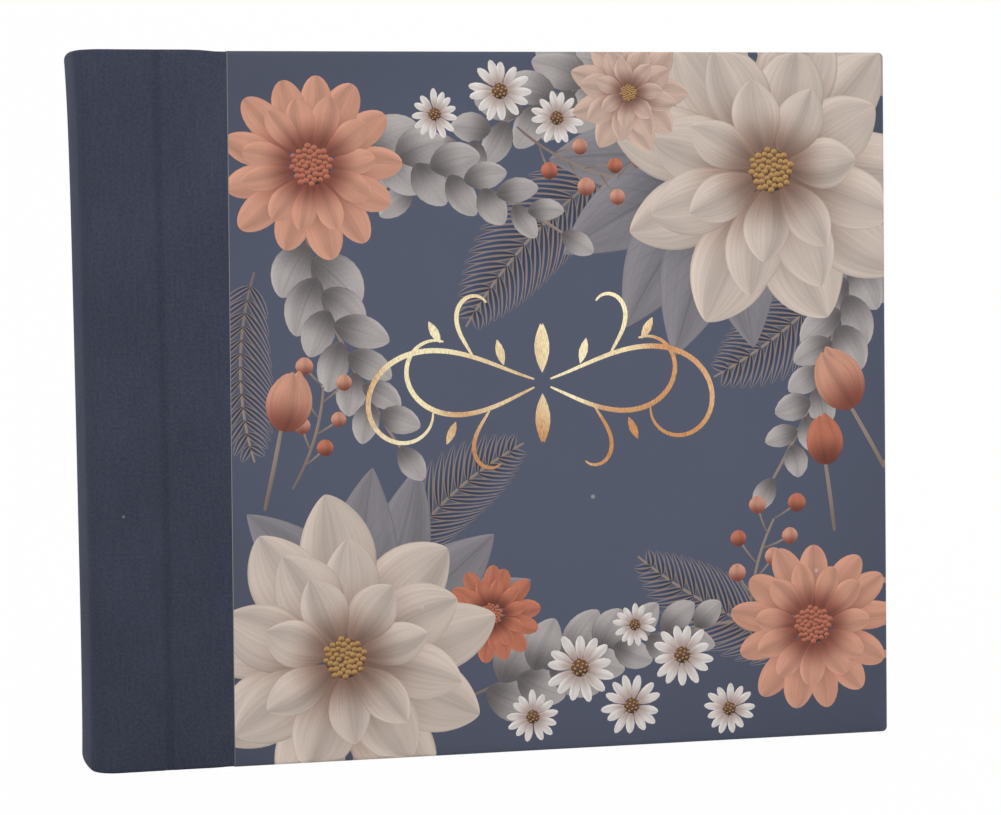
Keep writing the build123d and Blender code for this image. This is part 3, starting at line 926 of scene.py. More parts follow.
# %% [markdown]
# A spray is a bent stem with leaves to both sides that get smaller to the tip. Fronds and berry twigs are
# stems too. A frond's leaflets are drawn in fine pale lines on a dark leaf, so it stays in the background.

# %% Sprays and fronds
thin_stem = 0.35
spray_leaf = {"blunt": 0.62, "vein": 0.5, "slant": 1.0}
tip_length, tip_half = 0.62, 0.58
spray_start, spray_run, spray_taper, pair_offset = 0.1, 0.84, 0.5, 0.03
frond_leaf = {"fullness": 0.8, "vein": 0.2, "shade": 0.2, "line": 1.0}
frond_start, frond_run, frond_lean, frond_half = 0.08, 0.9, 52, 0.085


def stem(at, heading, length, bend, half_width=0.45):
    """A bent stem, for leaves and berries to stand on."""
    return petal(at, heading, length, half_width, bark, bend=bend, **twig_form)


def along_stem(twig, share):
    """The place at a share of a stem's length, and the direction it has there, in degrees."""
    return petal_point(twig, share, 0), math.degrees(twig["heading"] + share * twig["bend"])


def spray(at, heading, length, bend, pairs, leaf_length, leaf_half, colours, lean=48):
    """A stem with pairs of leaves that get smaller towards the tip, and one leaf at the end."""
    twig = stem(at, heading, length, bend)
    for i in range(pairs):
        share = spray_start + spray_run * i / pairs
        size = 1.0 - spray_taper * share
        for hand in (-1, 1):
            foot, direction = along_stem(twig, share + pair_offset * hand)
            leaf_heading = direction + hand * about(lean, 0.15)
            measures = (leaf_heading, about(leaf_length * size), about(leaf_half * size))
            curl = -hand * dice.uniform(8, 26)
            petal(foot, *measures, colours, bend=curl, fullness=0.95, shade=0.35, **spray_leaf)
    foot, direction = along_stem(twig, 0.99)
    petal(foot, direction, tip_length * leaf_length, tip_half * leaf_half, colours, shade=0.3, **spray_leaf)


def frond(at, heading, length, bend, pairs, reach, colours):
    """A feathered frond with fine pale line work."""
    twig = stem(at, heading, length, bend, thin_stem)
    for i in range(pairs):
        share = frond_start + frond_run * i / pairs
        size = math.sin(math.pi * (0.18 + 0.78 * share))
        for hand in (-1, 1):
            foot, direction = along_stem(twig, share)
            measures = (direction + hand * frond_lean, reach * size, frond_half * reach)
            petal(foot, *measures, colours, bend=-22 * hand, **frond_leaf)


print("greens:", spray.__name__, frond.__name__)

# %% [markdown]
# Berries sit on short stalks to both sides of a twig. Broad leaves fan out from behind a flower and set it
# off from the ground.

# %% Berries and broad leaves
stalk_lean, stalk_length, stalk_bend, stalk_half = 46, 3.4, 16, 0.25
broad_leaf = {"fullness": 0.9, "blunt": 0.85, "vein": 0.7, "slant": 1.0, "shade": 0.45}


def berries(at, heading, length, bend, count, radius):
    """A twig with round berries on short stalks."""
    twig = stem(at, heading, length, bend, thin_stem)
    for i in range(count):
        foot, direction = along_stem(twig, 0.25 + 0.75 * i / max(1, count - 1))
        hand = 1 if i % 2 else -1
        stalk_heading = direction + hand * about(stalk_lean, 0.3)
        stalk = stem(foot, stalk_heading, about(stalk_length * radius), -stalk_bend * hand, stalk_half)
        tip, _ = along_stem(stalk, 1.0)
        dot(tip, about(radius), terracotta if i % 3 else rust, shade=0.5)


def leaf_fan(at, headings, length, half, colours):
    """Broad leaves that stand out from behind a flower."""
    for heading in headings:
        measures = (heading, about(length), about(half))
        petal(at, *measures, colours, bend=dice.uniform(-24, 24), **broad_leaf)


print("more greens:", berries.__name__, leaf_fan.__name__)

# %% [markdown]
# The front bouquet frames a clear navy middle: one large flower fills the lower corner at the spine, one
# the upper corner at the fore-edge, and smaller ones answer them across. What is drawn first lies lowest,
# so the fronds come first and the flowers last. Places are in millimetres in the frame's own X and Z, and
# stems go on with heading, length and bend, and then the number and size of what they carry.

# %% Front bouquet
front_daisies = (
    ((20, 20), 8.5), ((33, 10), 7.4), ((46, 22), 7.8), ((8, 8.5), 6.4), ((34, 30), 5.4), ((58, 8), 6.4),
    ((2, 160.5), 7.4), ((16, 154), 6.4), ((-14, 155), 5.8),
)
frond((44, 150), 205, 70, 34, 19, 17, indigo)
frond((98, 128), 236, 58, -30, 16, 16, indigo)
frond((-30, 40), 62, 52, -36, 15, 14, indigo)
frond((90, 20), 168, 62, -28, 17, 15, indigo)
frond((-58, 118), 252, 46, 34, 13, 13, indigo)
leaf_fan((60, 142), (168, 196, 226, 250, 274), 46, 9.5, slate)
leaf_fan((-34, 26), (12, 38, 66, 92, 118), 44, 9.0, slate)
spray((46, 168), 190, 74, 30, 7, 17, 5.6, ash)
spray((92, 126), 262, 66, -24, 7, 15, 5.0, ash)
spray((-8, 14), 22, 70, -18, 7, 16, 5.2, ash)
spray((-46, 128), 282, 58, 22, 6, 16, 5.4, ash)
spray((-40, 148), 352, 62, -26, 6, 15, 5.0, ash, lean=42)
berries((6, 152), 318, 28, 30, 6, 2.1)
berries((64, 24), 96, 32, -34, 7, 2.2)
berries((-50, 66), 58, 26, 28, 6, 2.0)
tulip((91, 82), 118, 17, terracotta)
tulip((84, 68), 96, 13, rust)
tulip((-52, 80), 76, 15, terracotta)
for spot, radius in front_daisies:
    daisy(spot, radius)
gerbera((80, 28), 21.0, terracotta, turn=6)
gerbera((-44, 143), 22.0, terracotta, turn=2)
gerbera((-2, 34), 12.0, rust, turn=10)
dahlia((70, 141), 41.0, cream, turn=4)
dahlia((-38, 25), 38.0, cream, turn=9)
dahlia((34, 160), 15.0, blush, turn=3)
front_motifs = list(motifs)
print("front motifs", len(front_motifs))

# %% [markdown]
# The back of the case can't be seen at the portrait's angle. It repeats the same hand, more sparsely: one
# flower low at the fore-edge, one high at the hinge, and a few sprays between.

# %% Back bouquet
back_daisies = (((30, 24), 7.6), ((18, 12), 6.4), ((42, 10), 6.8))
motifs.clear()
frond((70, 12), 128, 64, 30, 17, 15, indigo)
frond((-52, 150), 292, 50, -28, 14, 14, indigo)
leaf_fan((66, 30), (70, 98, 128, 158, 186), 42, 9.0, slate)
spray((50, 18), 150, 72, 22, 7, 16, 5.2, ash)
spray((84, 52), 96, 60, 20, 6, 15, 5.0, ash)
spray((-36, 140), 332, 64, 20, 6, 15, 5.0, ash)
berries((30, 16), 176, 30, -24, 6, 2.1)
for spot, radius in back_daisies:
    daisy(spot, radius)
gerbera((-42, 146), 19.0, terracotta, turn=5)
dahlia((72, 26), 36.0, cream, turn=2)
back_motifs = list(motifs)
print("back motifs", len(back_motifs))

# %% [markdown]
# A gold ornament is stamped in the clear middle. Its strokes are scrolls: lines whose turn grows steadily,
# which is how a pen curls a flourish. Each is drawn once and mirrored about the ornament's own middle. A
# scroll gives its start, heading and length, its first and last turn, and the width of its stroke.

# %% Stamped scrolls
ornament_middle = Vector((11.5, 90.0))
stroke_step = 0.7
stroke_end = 0.3


def scroll(start, heading, length, first_turn, last_turn, width):
    """The outline of a stroke whose turn goes from one rate to another, in degrees per mm."""
    count = round(length / stroke_step)
    place, angle = Vector(start), math.radians(heading)
    left, right = [], []
    for i in range(count + 1):
        share = i / count
        half = width / 2 * (stroke_end + (1 - stroke_end) * math.sin(math.pi * share) ** 0.6)
        side = Vector((-math.sin(angle), math.cos(angle))) * half
        left.append(place + side)
        right.append(place - side)
        place = place + stroke_step * Vector((math.cos(angle), math.sin(angle)))
        angle += math.radians(first_turn + (last_turn - first_turn) * share) * stroke_step
    return right + left[::-1]


def stamp(outline):
    """Adds a foil outline and its mirror image."""
    for hand in (1, -1):
        points = [ornament_middle + Vector((hand * p.x, p.y)) for p in outline]
        motifs.append({"outline": points[::hand], "foil": True})


def stamped_leaf(at, heading, length, half_width):
    """A small pointed leaf of foil."""
    stamp(shape_petal(at, heading, length, half_width, honey, blunt=0.9)["outline"])


motifs.clear()
stamp(scroll((2.0, 1.0), 18, 74, 1.0, -9.0, 1.3))
stamp(scroll((2.0, -1.0), -24, 52, -0.6, 9.5, 1.25))
stamp(scroll((17.0, 6.6), 62, 22, -2.0, 20.0, 1.1))
stamp(scroll((13.0, -6.0), -60, 20, 2.0, -20.0, 1.0))
stamped_leaf((9.5, 4.5), 74, 6.5, 1.1)
stamped_leaf((25.0, 10.2), 60, 6.0, 1.1)
stamped_leaf((21.5, -8.8), -68, 6.0, 1.0)
stamped_leaf((0.0, 2.5), 90, 12.0, 1.8)
stamped_leaf((0.0, -2.5), -90, 12.0, 1.8)
front_motifs += motifs
print("foil strokes", len(motifs))

# %% [markdown]
# Now the sheet is cut. A constrained Delaunay triangulation takes every outline at once, splits them where
# they cross, and reports which outlines each small triangle lies inside. The last one drawn wins. Only the
# flat of the cover is cut like this, up to where its edges begin to roll over. From here to the mesh,
# sizes of the paper are in millimetres.

# %% Cut the flat of the cover along the outlines
edge_roll, corner_roll = 1.0, 1.3
corner_steps = 5
cut_bevel = 0.16
tail_slip, head_slip = -1.2, 0.3
cover_top = book_height / mm
cover_fore = x_fore / mm
inside_faces, merge_distance = 1, 1e-4


def cut_at(z):
    """Where the paper's cut edge runs beside the cloth. It was laid a little askew."""
    return x_paper / mm + tail_slip + (head_slip - tail_slip) * z / cover_top


def flat_border():
    """The rounded border of the flat of the cover, from the cut edge round the fore-edge and back."""
    low, high, fore = edge_roll, cover_top - edge_roll, cover_fore - edge_roll
    turn = corner_roll - edge_roll
    border = [Vector((cut_at(low), low))]
    for centre_z, first in ((low + turn, -90), (high - turn, 0)):
        headings = [first + 90 * i / corner_steps for i in range(corner_steps + 1)]
        border += [polar((fore - turn, centre_z), heading, turn) for heading in headings]
    return border + [Vector((cut_at(high), high))]


def cut_strip():
    """The narrow bevel of bare paper that the knife leaves along the cut edge."""
    low, high = edge_roll, cover_top - edge_roll
    corners = ((0, low), (cut_bevel, low), (cut_bevel, high), (0, high))
    return [Vector((cut_at(z) + inset, z)) for inset, z in corners]


def cut_sheet(outlines):
    """Points and triangles of the flat, each triangle with the number of its topmost outline."""
    points, faces = [], []
    for outline in [flat_border()] + outlines:
        faces.append(list(range(len(points), len(points) + len(outline))))
        points += outline
    spots, _, triangles, _, _, owners = delaunay_2d_cdt(points, [], faces, inside_faces, merge_distance)
    kept = [(tri, max(owner) - 1) for tri, owner in zip(triangles, owners) if 0 in owner]
    return spots, kept


def rim_of(triangles):
    """The outer edge of the cut sheet, in order, each point with the outline beside its next edge."""
    edges = {}
    for tri, owner in triangles:
        for a, b in zip(tri, tri[1:] + tri[:1]):
            edges[(a, b)] = owner
    follows = {a: (b, owner) for (a, b), owner in edges.items() if (b, a) not in edges}
    rim, spot = [], next(iter(follows))
    while not rim or spot != rim[0][0]:
        after, owner = follows[spot]
        rim.append((spot, owner))
        spot = after
    return rim


print("a bare cover is", len(cut_sheet([cut_strip()])[1]), "triangles")

# %% [markdown]
# From the border of the flat, the paper rolls over the board's edge, runs across it and turns in on the
# inside. A profile of offsets and depths does that, and every border point sends one chain of points down
# it. At the corners the flaps are mitred, so that they meet without lying on each other. A second skin, a
# paper's thickness deeper, closes the sheet.

# %% Roll the paper round the board
paper_thickness = 0.15
paper_turn_in, least_flap = 14.0, 0.8
roll_steps = 4
fold_round, round_steps = 0.35, 3
wrap = wrap_depth / mm
touching = 0.01


def roll_profile():
    """Offset, depth and outward direction at each step over the board's edge, up to the turned-in flap."""
    profile = []
    for i in range(1, roll_steps + 1):
        angle = math.pi / 2 * i / roll_steps
        out, back = math.sin(angle), -math.cos(angle)
        profile.append((edge_roll * out, edge_roll * (1 + back), out, back))
    for i in range(round_steps + 1):
        angle = math.pi / 2 * i / round_steps
        offset = edge_roll - fold_round * (1 - math.cos(angle))
        depth = wrap - fold_round * (1 - math.sin(angle))
        profile.append((offset, depth, math.cos(angle), math.sin(angle)))
    return profile


def outward_at(spot):
    """The direction out of the cover at a point of the flat's border."""
    inside_x = min(spot.x, cover_fore - corner_roll)
    inside_z = min(max(spot.y, corner_roll), cover_top - corner_roll)
    return (spot - Vector((inside_x, inside_z))).normalized()


def flap_reach(spot):
    """How far the flap runs in from a border point: its full width, or up to the mitre."""
    to_fore = cover_fore - spot.x
    to_end = min(spot.y, cover_top - spot.y)
    return min(paper_turn_in, max(to_fore, to_end, least_flap))


def lies_on_cut(spot):
    """Whether a point of the sheet is on its cut edge."""
    return spot.x < cut_at(spot.y) + touching


print("profile steps", len(roll_profile()))

# %% [markdown]
# A cover's paper has up to fifty thousand faces, so its points and faces are collected in lists and become
# a mesh in one go. Edit mode would be slow here. Each face remembers which outline owns it, and where its
# corners lie on the sheet before it is rolled, because the print goes on unbroken over the edge.

# %% Collect the faces of a sheet
bare_paper = -2
first_unrolled, unrolled_step = 1.2, 0.4


class Sheet:
    """Collects points and faces of one cover's paper, and what each face shows."""

    def __init__(self, side):
        self.side = side
        self.points = []
        self.faces = []

    def point(self, spot, depth):
        """Adds a point at a place of the sheet and a depth below the case's face."""
        y = self.side * (half_thickness - depth * mm)
        self.points.append((spot.x * mm, y, spot.y * mm))
        return len(self.points) - 1

    def face(self, corners, owner, spots):
        """Adds a face that looks outwards, with its owner and its corners' places on the flat sheet."""
        order = 1 if self.side < 0 else -1
        self.faces.append((corners[::order], owner, spots[::order]))


def edge_chain(sheet, spot, flat_id, under_id):
    """The points from a border point down over the edge, outside and inside, and their unrolled places."""
    outward = outward_at(spot)
    outer, under, unrolled = [flat_id], [under_id], [spot]
    flap_edge = (edge_roll - flap_reach(spot), wrap, 0.0, 1.0)
    for i, (offset, depth, out, back) in enumerate(roll_profile() + [flap_edge]):
        outer.append(sheet.point(spot + outward * offset, depth))
        inset = offset - paper_thickness * out
        under.append(sheet.point(spot + outward * inset, depth - paper_thickness * back))
        unrolled.append(spot + outward * (edge_roll * (first_unrolled + unrolled_step * i)))
    return outer, under, unrolled


print("sheets collect on side", Sheet(-1).side, "for the front and", Sheet(1).side, "for the back")

# %% [markdown]
# Neighbouring chains are joined by strips of faces: print on the outside, and bare paper on the inside and
# across the thickness, wherever the sheet ends.


# %% Roll the sheet over the edge
def skin_between(sheet, owner, chain_a, chain_b):
    """Faces between two neighbouring chains: the print outside, bare paper inside and at the flap's edge."""
    (outer_a, under_a, flat_a), (outer_b, under_b, flat_b) = chain_a, chain_b
    for i in range(len(outer_a) - 1):
        corners = [outer_a[i], outer_a[i + 1], outer_b[i + 1], outer_b[i]]
        sheet.face(corners, owner, [flat_a[i], flat_a[i + 1], flat_b[i + 1], flat_b[i]])
        corners = [under_b[i], under_b[i + 1], under_a[i + 1], under_a[i]]
        sheet.face(corners, bare_paper, [flat_b[i], flat_b[i + 1], flat_a[i + 1], flat_a[i]])
    corners = [outer_b[-1], outer_a[-1], under_a[-1], under_b[-1]]
    sheet.face(corners, bare_paper, [flat_b[-1], flat_a[-1], flat_a[-1], flat_b[-1]])


def close_end(sheet, chain, hand):
    """Faces across the paper's thickness where the rolled edge stops at the cut."""
    outer, under, flat = chain
    for i in range(len(outer) - 1):
        corners = [outer[i], under[i], under[i + 1], outer[i + 1]]
        sheet.face(corners[::hand], bare_paper, [flat[i], flat[i], flat[i + 1], flat[i + 1]][::hand])


def roll_over_edge(sheet, rim, spots, flat_ids, under_ids):
    """Lays the rolled edge and the flap along the border that isn't cut."""
    chains = {i: edge_chain(sheet, spots[i], flat_ids[i], under_ids[i]) for i, _ in rim}
    for (a, owner), (b, _) in zip(rim, rim[1:]):
        skin_between(sheet, owner, chains[a], chains[b])
    close_end(sheet, chains[rim[0][0]], 1)
    close_end(sheet, chains[rim[-1][0]], -1)


print("edges are rolled with", roll_over_edge.__name__)

# %% [markdown]
# The flat, its underside, the cut beside the cloth and the rolled border make one closed sheet. Along the
# cut the paper's face drops, because a knife presses the edge down as it goes through.

# %% Build one covered face
cut_drop = 0.7 * paper_thickness


def split_rim(rim, spots):
    """The rim in two runs: the border that rolls over the board, and the straight cut beside the cloth."""
    on_cut = [lies_on_cut(spots[i]) for i, _ in rim]
    start = next(k for k in range(len(rim)) if on_cut[k] and not on_cut[(k + 1) % len(rim)])
    turned = rim[start:] + rim[:start]
    rolled = [turned[0]] + [part for part in turned[1:] if not lies_on_cut(spots[part[0]])]
    cut = turned[len(rolled):] + [turned[0]]
    return rolled + [cut[0]], cut


def cover_sheet(side, outlines):
    """The whole paper of one cover as points and faces."""
    sheet = Sheet(side)
    spots, triangles = cut_sheet(outlines)
    rim = rim_of(triangles)
    used = sorted({i for tri, _ in triangles for i in tri})
    flat_ids = {i: sheet.point(spots[i], cut_drop if lies_on_cut(spots[i]) else 0.0) for i in used}
    under_ids = {i: sheet.point(spots[i], paper_thickness) for i, _ in rim}
    for tri, owner in triangles:
        sheet.face([flat_ids[i] for i in tri], owner, [spots[i] for i in tri])
    sheet.face([under_ids[i] for i, _ in reversed(rim)], bare_paper, [spots[i] for i, _ in reversed(rim)])
    rolled, cut = split_rim(rim, spots)
    for (a, _), (b, _) in zip(cut, cut[1:]):
        corners = [flat_ids[b], flat_ids[a], under_ids[a], under_ids[b]]
        sheet.face(corners, bare_paper, [spots[b], spots[a], spots[a], spots[b]])
    roll_over_edge(sheet, rolled, spots, flat_ids, under_ids)
    return sheet


print("an unprinted cover has", len(cover_sheet(-1, [cut_strip()]).faces), "faces")

# %% [markdown]
# Each face then carries what the print shader needs: the place on its petal, the petal's form, how it is
# lit, and two colours. Places on a petal change evenly over a face, so the shader can work out the bent
# midrib for itself at every point, and the veins stay sharp however close one looks. The bare ground
# counts as one petal that is far too wide to be real, which is how the shader knows it.

# %% What each face of the print carries
ground_colours = (screen(85, 91, 111), screen(85, 91, 111))
paper_colours = (screen(152, 150, 150), screen(152, 150, 150))
sunny_heading = math.radians(125)
ground_half_width, widest_petal = 50.0, 20.0
ground_form = {
    **plain_petal,
    "bend": 0.02,
    "half_width": ground_half_width,
    "blunt": 0.5,
    "vein": 0.0,
    "shade": 0.0,
    "seed": 0.5,
}


def print_values(motif, colours):
    """What one face of the print carries, whatever its shape."""
    form = motif or ground_form
    light = math.cos(form["heading"] + math.pi / 2 - sunny_heading) if motif else 0.0
    return {
        "motif_form": (form["bend"], form["half_width"], form["fullness"]),
        "motif_line": (form["blunt"], form["vein"], form["slant"]),
        "motif_light": (light, form["shade"], form["line"]),
        "motif_base": colours[0],
        "motif_tip": colours[1],
    }


def place_on_petal(motif, spot):
    """A point of the sheet in the petal's own measure, from its foot along its heading."""
    if motif is None:
        return (0.5, 0.0, ground_form["seed"])
    local = Matrix.Rotation(-motif["heading"], 2) @ (spot - motif["at"]) / motif["length"]
    return (local.x, local.y, motif["seed"])


print("faces carry", list(print_values(None, ground_colours)))

# %% [markdown]
# Attributes are a mesh's own columns of data, with a row for each face or corner, and a shader reads them
# by name. The foil needs no colours, only the second of the two material slots.


# %% Write the print onto the mesh
def write_attribute(mesh, name, kind, domain, rows):
    """Fills a named attribute from one tuple for each corner or face."""
    layer = mesh.attributes.new(name, kind, domain)
    key = "color" if kind == "FLOAT_COLOR" else "vector"
    layer.data.foreach_set(key, [value for row in rows for value in row])


def printed_piece(name, side, drawn):
    """Makes a cover's paper, with its print, as a mesh object."""
    knife_strip = len(drawn)
    sheet = cover_sheet(side, [motif["outline"] for motif in drawn] + [cut_strip()])
    mesh = bpy.data.meshes.new(name)
    mesh.from_pydata(sheet.points, [], [corners for corners, _, _ in sheet.faces])
    face_values, corner_places, slots = [], [], []
    for _, owner, spots in sheet.faces:
        shown = drawn[owner] if 0 <= owner < knife_strip else None
        foil = bool(shown and shown["foil"])
        motif = None if foil else shown
        bare = owner in (bare_paper, knife_strip)
        colours = paper_colours if bare else motif["colours"] if motif else ground_colours
        face_values.append(print_values(motif, colours))
        corner_places += [place_on_petal(motif, spot) for spot in spots]
        slots.append(1 if foil else 0)
    for label in ("motif_form", "motif_line", "motif_light"):
        write_attribute(mesh, label, "FLOAT_VECTOR", "FACE", [row[label] for row in face_values])
    for label in ("motif_base", "motif_tip"):
        write_attribute(mesh, label, "FLOAT_COLOR", "FACE", [row[label] for row in face_values])
    write_attribute(mesh, "motif_place", "FLOAT_VECTOR", "CORNER", corner_places)
    mesh.polygons.foreach_set("material_index", slots)
    piece = bpy.data.objects.new(name, mesh)
    bpy.context.scene.collection.objects.link(piece)
    return piece


print_pieces = {}
for side, cover, drawn in ((-1, "front", front_motifs), (1, "back", back_motifs)):
    piece = printed_piece(f"{cover}_printed_paper", side, drawn)
    print_pieces[cover] = piece
    piece.data.calc_loop_triangles()
    print(piece.name, "triangles", len(piece.data.loop_triangles))

# %% [markdown]
# The print shader undoes the bend: it finds how far along the midrib a point lies and how far out towards
# the petal's edge, from -1 to 1. With those two numbers a petal is easy to paint: it pales to the tip, is
# darker at the foot where others overlap it, has veins that run with it or slant off the midrib, and turns
# a little away from the light on one side.

# %% Painted petal group
painted_petal, ends, out = new_group(
    "painted_petal",
    {
        "Place": "Vector",
        "Form": "Vector",
        "Line": "Vector",
        "Light": "Vector",
        "Base": "Color",
        "Tip": "Color",
    },
    {"Colour": "Color", "Petal": "Float"},
)
nearly_none, nearly_all = 0.001, 0.999
px, py, seed = parts_of(painted_petal, ends["Place"])
bend, half_width, fullness = parts_of(painted_petal, ends["Form"])
blunt, vein, slant = parts_of(painted_petal, ends["Line"])
side_light, foot_shade, line_work = parts_of(painted_petal, ends["Light"])


def between(tree, value, low, high):
    """A value kept between two others."""
    return calc(tree, "MINIMUM", calc(tree, "MAXIMUM", value, low), high)


def petal_coordinates(tree):
    """How far along the midrib a point lies, and how far out to the petal's edge."""
    turned_x = calc(tree, "MULTIPLY", px, bend)
    turned_y = calc(tree, "SUBTRACT", 1.0, calc(tree, "MULTIPLY", py, bend))
    angle = calc(tree, "ARCTAN2", turned_x, turned_y)
    along = between(tree, calc(tree, "DIVIDE", angle, bend), nearly_none, nearly_all)
    square = calc(tree, "MULTIPLY_ADD", turned_y, turned_y, calc(tree, "MULTIPLY", turned_x, turned_x))
    across = calc(tree, "DIVIDE", calc(tree, "SUBTRACT", 1.0, calc(tree, "SQRT", square)), bend)
    swell = calc(tree, "SINE", calc(tree, "MULTIPLY", calc(tree, "POWER", along, fullness), math.pi))
    share = calc(tree, "POWER", calc(tree, "MAXIMUM", swell, nearly_none), blunt)
    out_to_edge = calc(tree, "DIVIDE", across, calc(tree, "MULTIPLY", share, half_width))
    return along, between(tree, out_to_edge, -1.0, 1.0)


along, outward = petal_coordinates(painted_petal)
edge_share = calc(painted_petal, "ABSOLUTE", outward)
print("petal coordinates take", len(painted_petal.nodes), "nodes")

# %% [markdown]
# What makes a print look painted is fine lines that waver and break off. Noise in the petal's own measure
# does both, and each petal's seed shifts it, so no two petals have the same veins.

# %% Veins of the petals
seed_spread = 40.0


def petal_noise(tree, along_scale, across_scale, detail):
    """Noise in the petal's own measure, different for each petal."""
    spot = add(tree, "ShaderNodeCombineXYZ", {
        "X": calc(tree, "MULTIPLY", along, along_scale),
        "Y": calc(tree, "MULTIPLY", outward, across_scale),
        "Z": calc(tree, "MULTIPLY", seed, seed_spread),
    }).outputs[0]
    return noise(tree, spot, 1.0, detail)


running_veins, slanting_veins = 6.5, 9.0
running_waver, slanting_waver = 2.2, 0.7
vein_slant = 0.28
drift = petal_noise(painted_petal, 1.6, 1.3, 1.0)
strands = petal_noise(painted_petal, 1.4, 11.0, 3.0)


def petal_veins(tree):
    """Fine lines that run with the petal, or slant off its midrib where slant is 1."""
    running = calc(tree, "MULTIPLY_ADD", outward, running_veins, calc(tree, "MULTIPLY", drift, running_waver))
    leaning = calc(tree, "MULTIPLY_ADD", edge_share, -vein_slant, along)
    waver = calc(tree, "MULTIPLY", drift, slanting_waver)
    slanting = calc(tree, "MULTIPLY_ADD", leaning, slanting_veins, waver)
    phase = mix_values(tree, slant, running, slanting)
    line = ramp(tree, calc(tree, "PINGPONG", phase, 0.5), 0.0, 0.11, 1.0, 0.0)
    broken = calc(tree, "MULTIPLY", line, ramp(tree, strands, 0.35, 0.6, 0.35, 1.0))
    faded = calc(tree, "MULTIPLY", broken, ramp(tree, along, 0.3, 1.0, 1.0, 0.2))
    rib_strength = ramp(tree, slant, 0.0, 1.0, 0.45, 1.0)
    midrib = calc(tree, "MULTIPLY", ramp(tree, edge_share, 0.0, 0.08, 1.0, 0.0), rib_strength)
    return calc(tree, "MULTIPLY", calc(tree, "MAXIMUM", faded, midrib), vein)


veins = petal_veins(painted_petal)
print("with veins the group has", len(painted_petal.nodes), "nodes")

# %% [markdown]
# Shade gives a flat print its depth. A petal loses light at its foot, on its veins, in its fold and along
# its rim. Fronds are drawn with a pale pen as well, along the rims and ribs of their leaflets.

# %% Shade and line work of the petals
side_turn = 0.15
losses = {"foot": 0.75, "veins": 0.3, "hollow": 1.0, "outline": 1.0}
pen_colour, pen_strength = screen(176, 152, 130), 0.62


def petal_tone(tree):
    """How bright the paint is: streaks, the dark foot, the side away from the light, the fold and the rim."""
    streaks = ramp(tree, strands, 0.3, 0.7, 0.93, 1.05)
    wash = calc(tree, "MULTIPLY", ramp(tree, drift, 0.3, 0.7, 0.93, 1.05), streaks)
    turned = calc(tree, "MULTIPLY_ADD", calc(tree, "MULTIPLY", outward, side_light), side_turn, 1.0)
    pale_rim = ramp(tree, edge_share, 0.55, 0.9, 1.0, 1.06)
    fold = calc(tree, "ABSOLUTE", calc(tree, "SUBTRACT", outward, calc(tree, "SUBTRACT", seed, 0.5)))
    rim_line = ramp(tree, foot_shade, 0.0, 0.3, 0.0, 0.2)
    darker = {
        "foot": calc(tree, "MULTIPLY", foot_shade, ramp(tree, along, 0.0, 0.62, 1.0, 0.0)),
        "veins": veins,
        "hollow": calc(tree, "MULTIPLY", foot_shade, ramp(tree, fold, 0.0, 0.55, 0.3, 0.0)),
        "outline": calc(tree, "MULTIPLY", ramp(tree, edge_share, 0.92, 1.0), rim_line),
    }
    tone = calc(tree, "MULTIPLY", calc(tree, "MULTIPLY", wash, turned), pale_rim)
    for name, loss in darker.items():
        kept = calc(tree, "SUBTRACT", 1.0, calc(tree, "MULTIPLY", loss, losses[name]))
        tone = calc(tree, "MULTIPLY", tone, kept)
    return tone


def petal_paint(tree):
    """The colours of one petal, and 1 where there is a petal or 0 on the bare ground."""
    wash = blend_colours(tree, ramp(tree, along, 0.05, 0.75), ends["Base"], ends["Tip"])
    shaped = calc(tree, "GREATER_THAN", widest_petal, half_width)
    inked = tint(tree, wash, mix_values(tree, shaped, 1.0, petal_tone(tree)))
    edge_line = ramp(tree, edge_share, 0.62, 0.86)
    rib_line = ramp(tree, edge_share, 0.1, 0.24, 1.0, 0.0)
    pen = calc(tree, "MULTIPLY", line_work, pen_strength)
    lines = calc(tree, "MULTIPLY", calc(tree, "MAXIMUM", edge_line, rib_line), pen)
    return blend_colours(tree, lines, inked, pen_colour), shaped


paint, shaped = petal_paint(painted_petal)
feed(painted_petal, out["Colour"], paint)
feed(painted_petal, out["Petal"], shaped)
print("group", painted_petal.name, "has", len(painted_petal.nodes), "nodes")

# %% [markdown]
# The print sits on a matt paper with a faint tooth. Its navy ground is darker towards the corners, and a
# few pinholes let the paper through. The colours come from the attributes that the faces carry.

# %% Printed paper material
ground_clear, ground_far, far_shade = 45 * mm, 125 * mm, 0.7
pinhole_colour = screen(216, 210, 204)
ground_middle = (ornament_middle.x * mm, -half_thickness, ornament_middle.y * mm)


def attribute(tree, name, output="Vector"):
    """What a face or a corner carries under a name."""
    return add(tree, "ShaderNodeAttribute", attribute_name=name).outputs[output]


printed_paper, tree, shader = new_material("printed_paper", specular_ior_level=0.32)
paint = use_group(
    tree,
    painted_petal,
    place=attribute(tree, "motif_place"),
    form=attribute(tree, "motif_form"),
    line=attribute(tree, "motif_line"),
    light=attribute(tree, "motif_light"),
    base=attribute(tree, "motif_base", "Color"),
    tip=attribute(tree, "motif_tip", "Color"),
)
grain = use_group(tree, paper_grain, tooth=0.16, cloud=0.07)
ends_of_line = {0: object_place(tree), 1: ground_middle}
from_middle = add(tree, "ShaderNodeVectorMath", ends_of_line, operation="DISTANCE").outputs["Value"]
# Only the bare ground is darker towards the corners.
ground_depth = ramp(tree, from_middle, ground_clear, ground_far, 1.0, far_shade)
ground_shade = calc(tree, "MAXIMUM", ground_depth, paint["Petal"])
inked = tint(tree, paint["Colour"], calc(tree, "MULTIPLY", grain["Shade"], ground_shade))
pinholes = calc(tree, "MULTIPLY", use_group(tree, stray_specks, scale=210.0, rarity=0.992)["Mask"], 0.45)
tree.links.new(blend_colours(tree, pinholes, inked, pinhole_colour), shader.inputs["Base Color"])
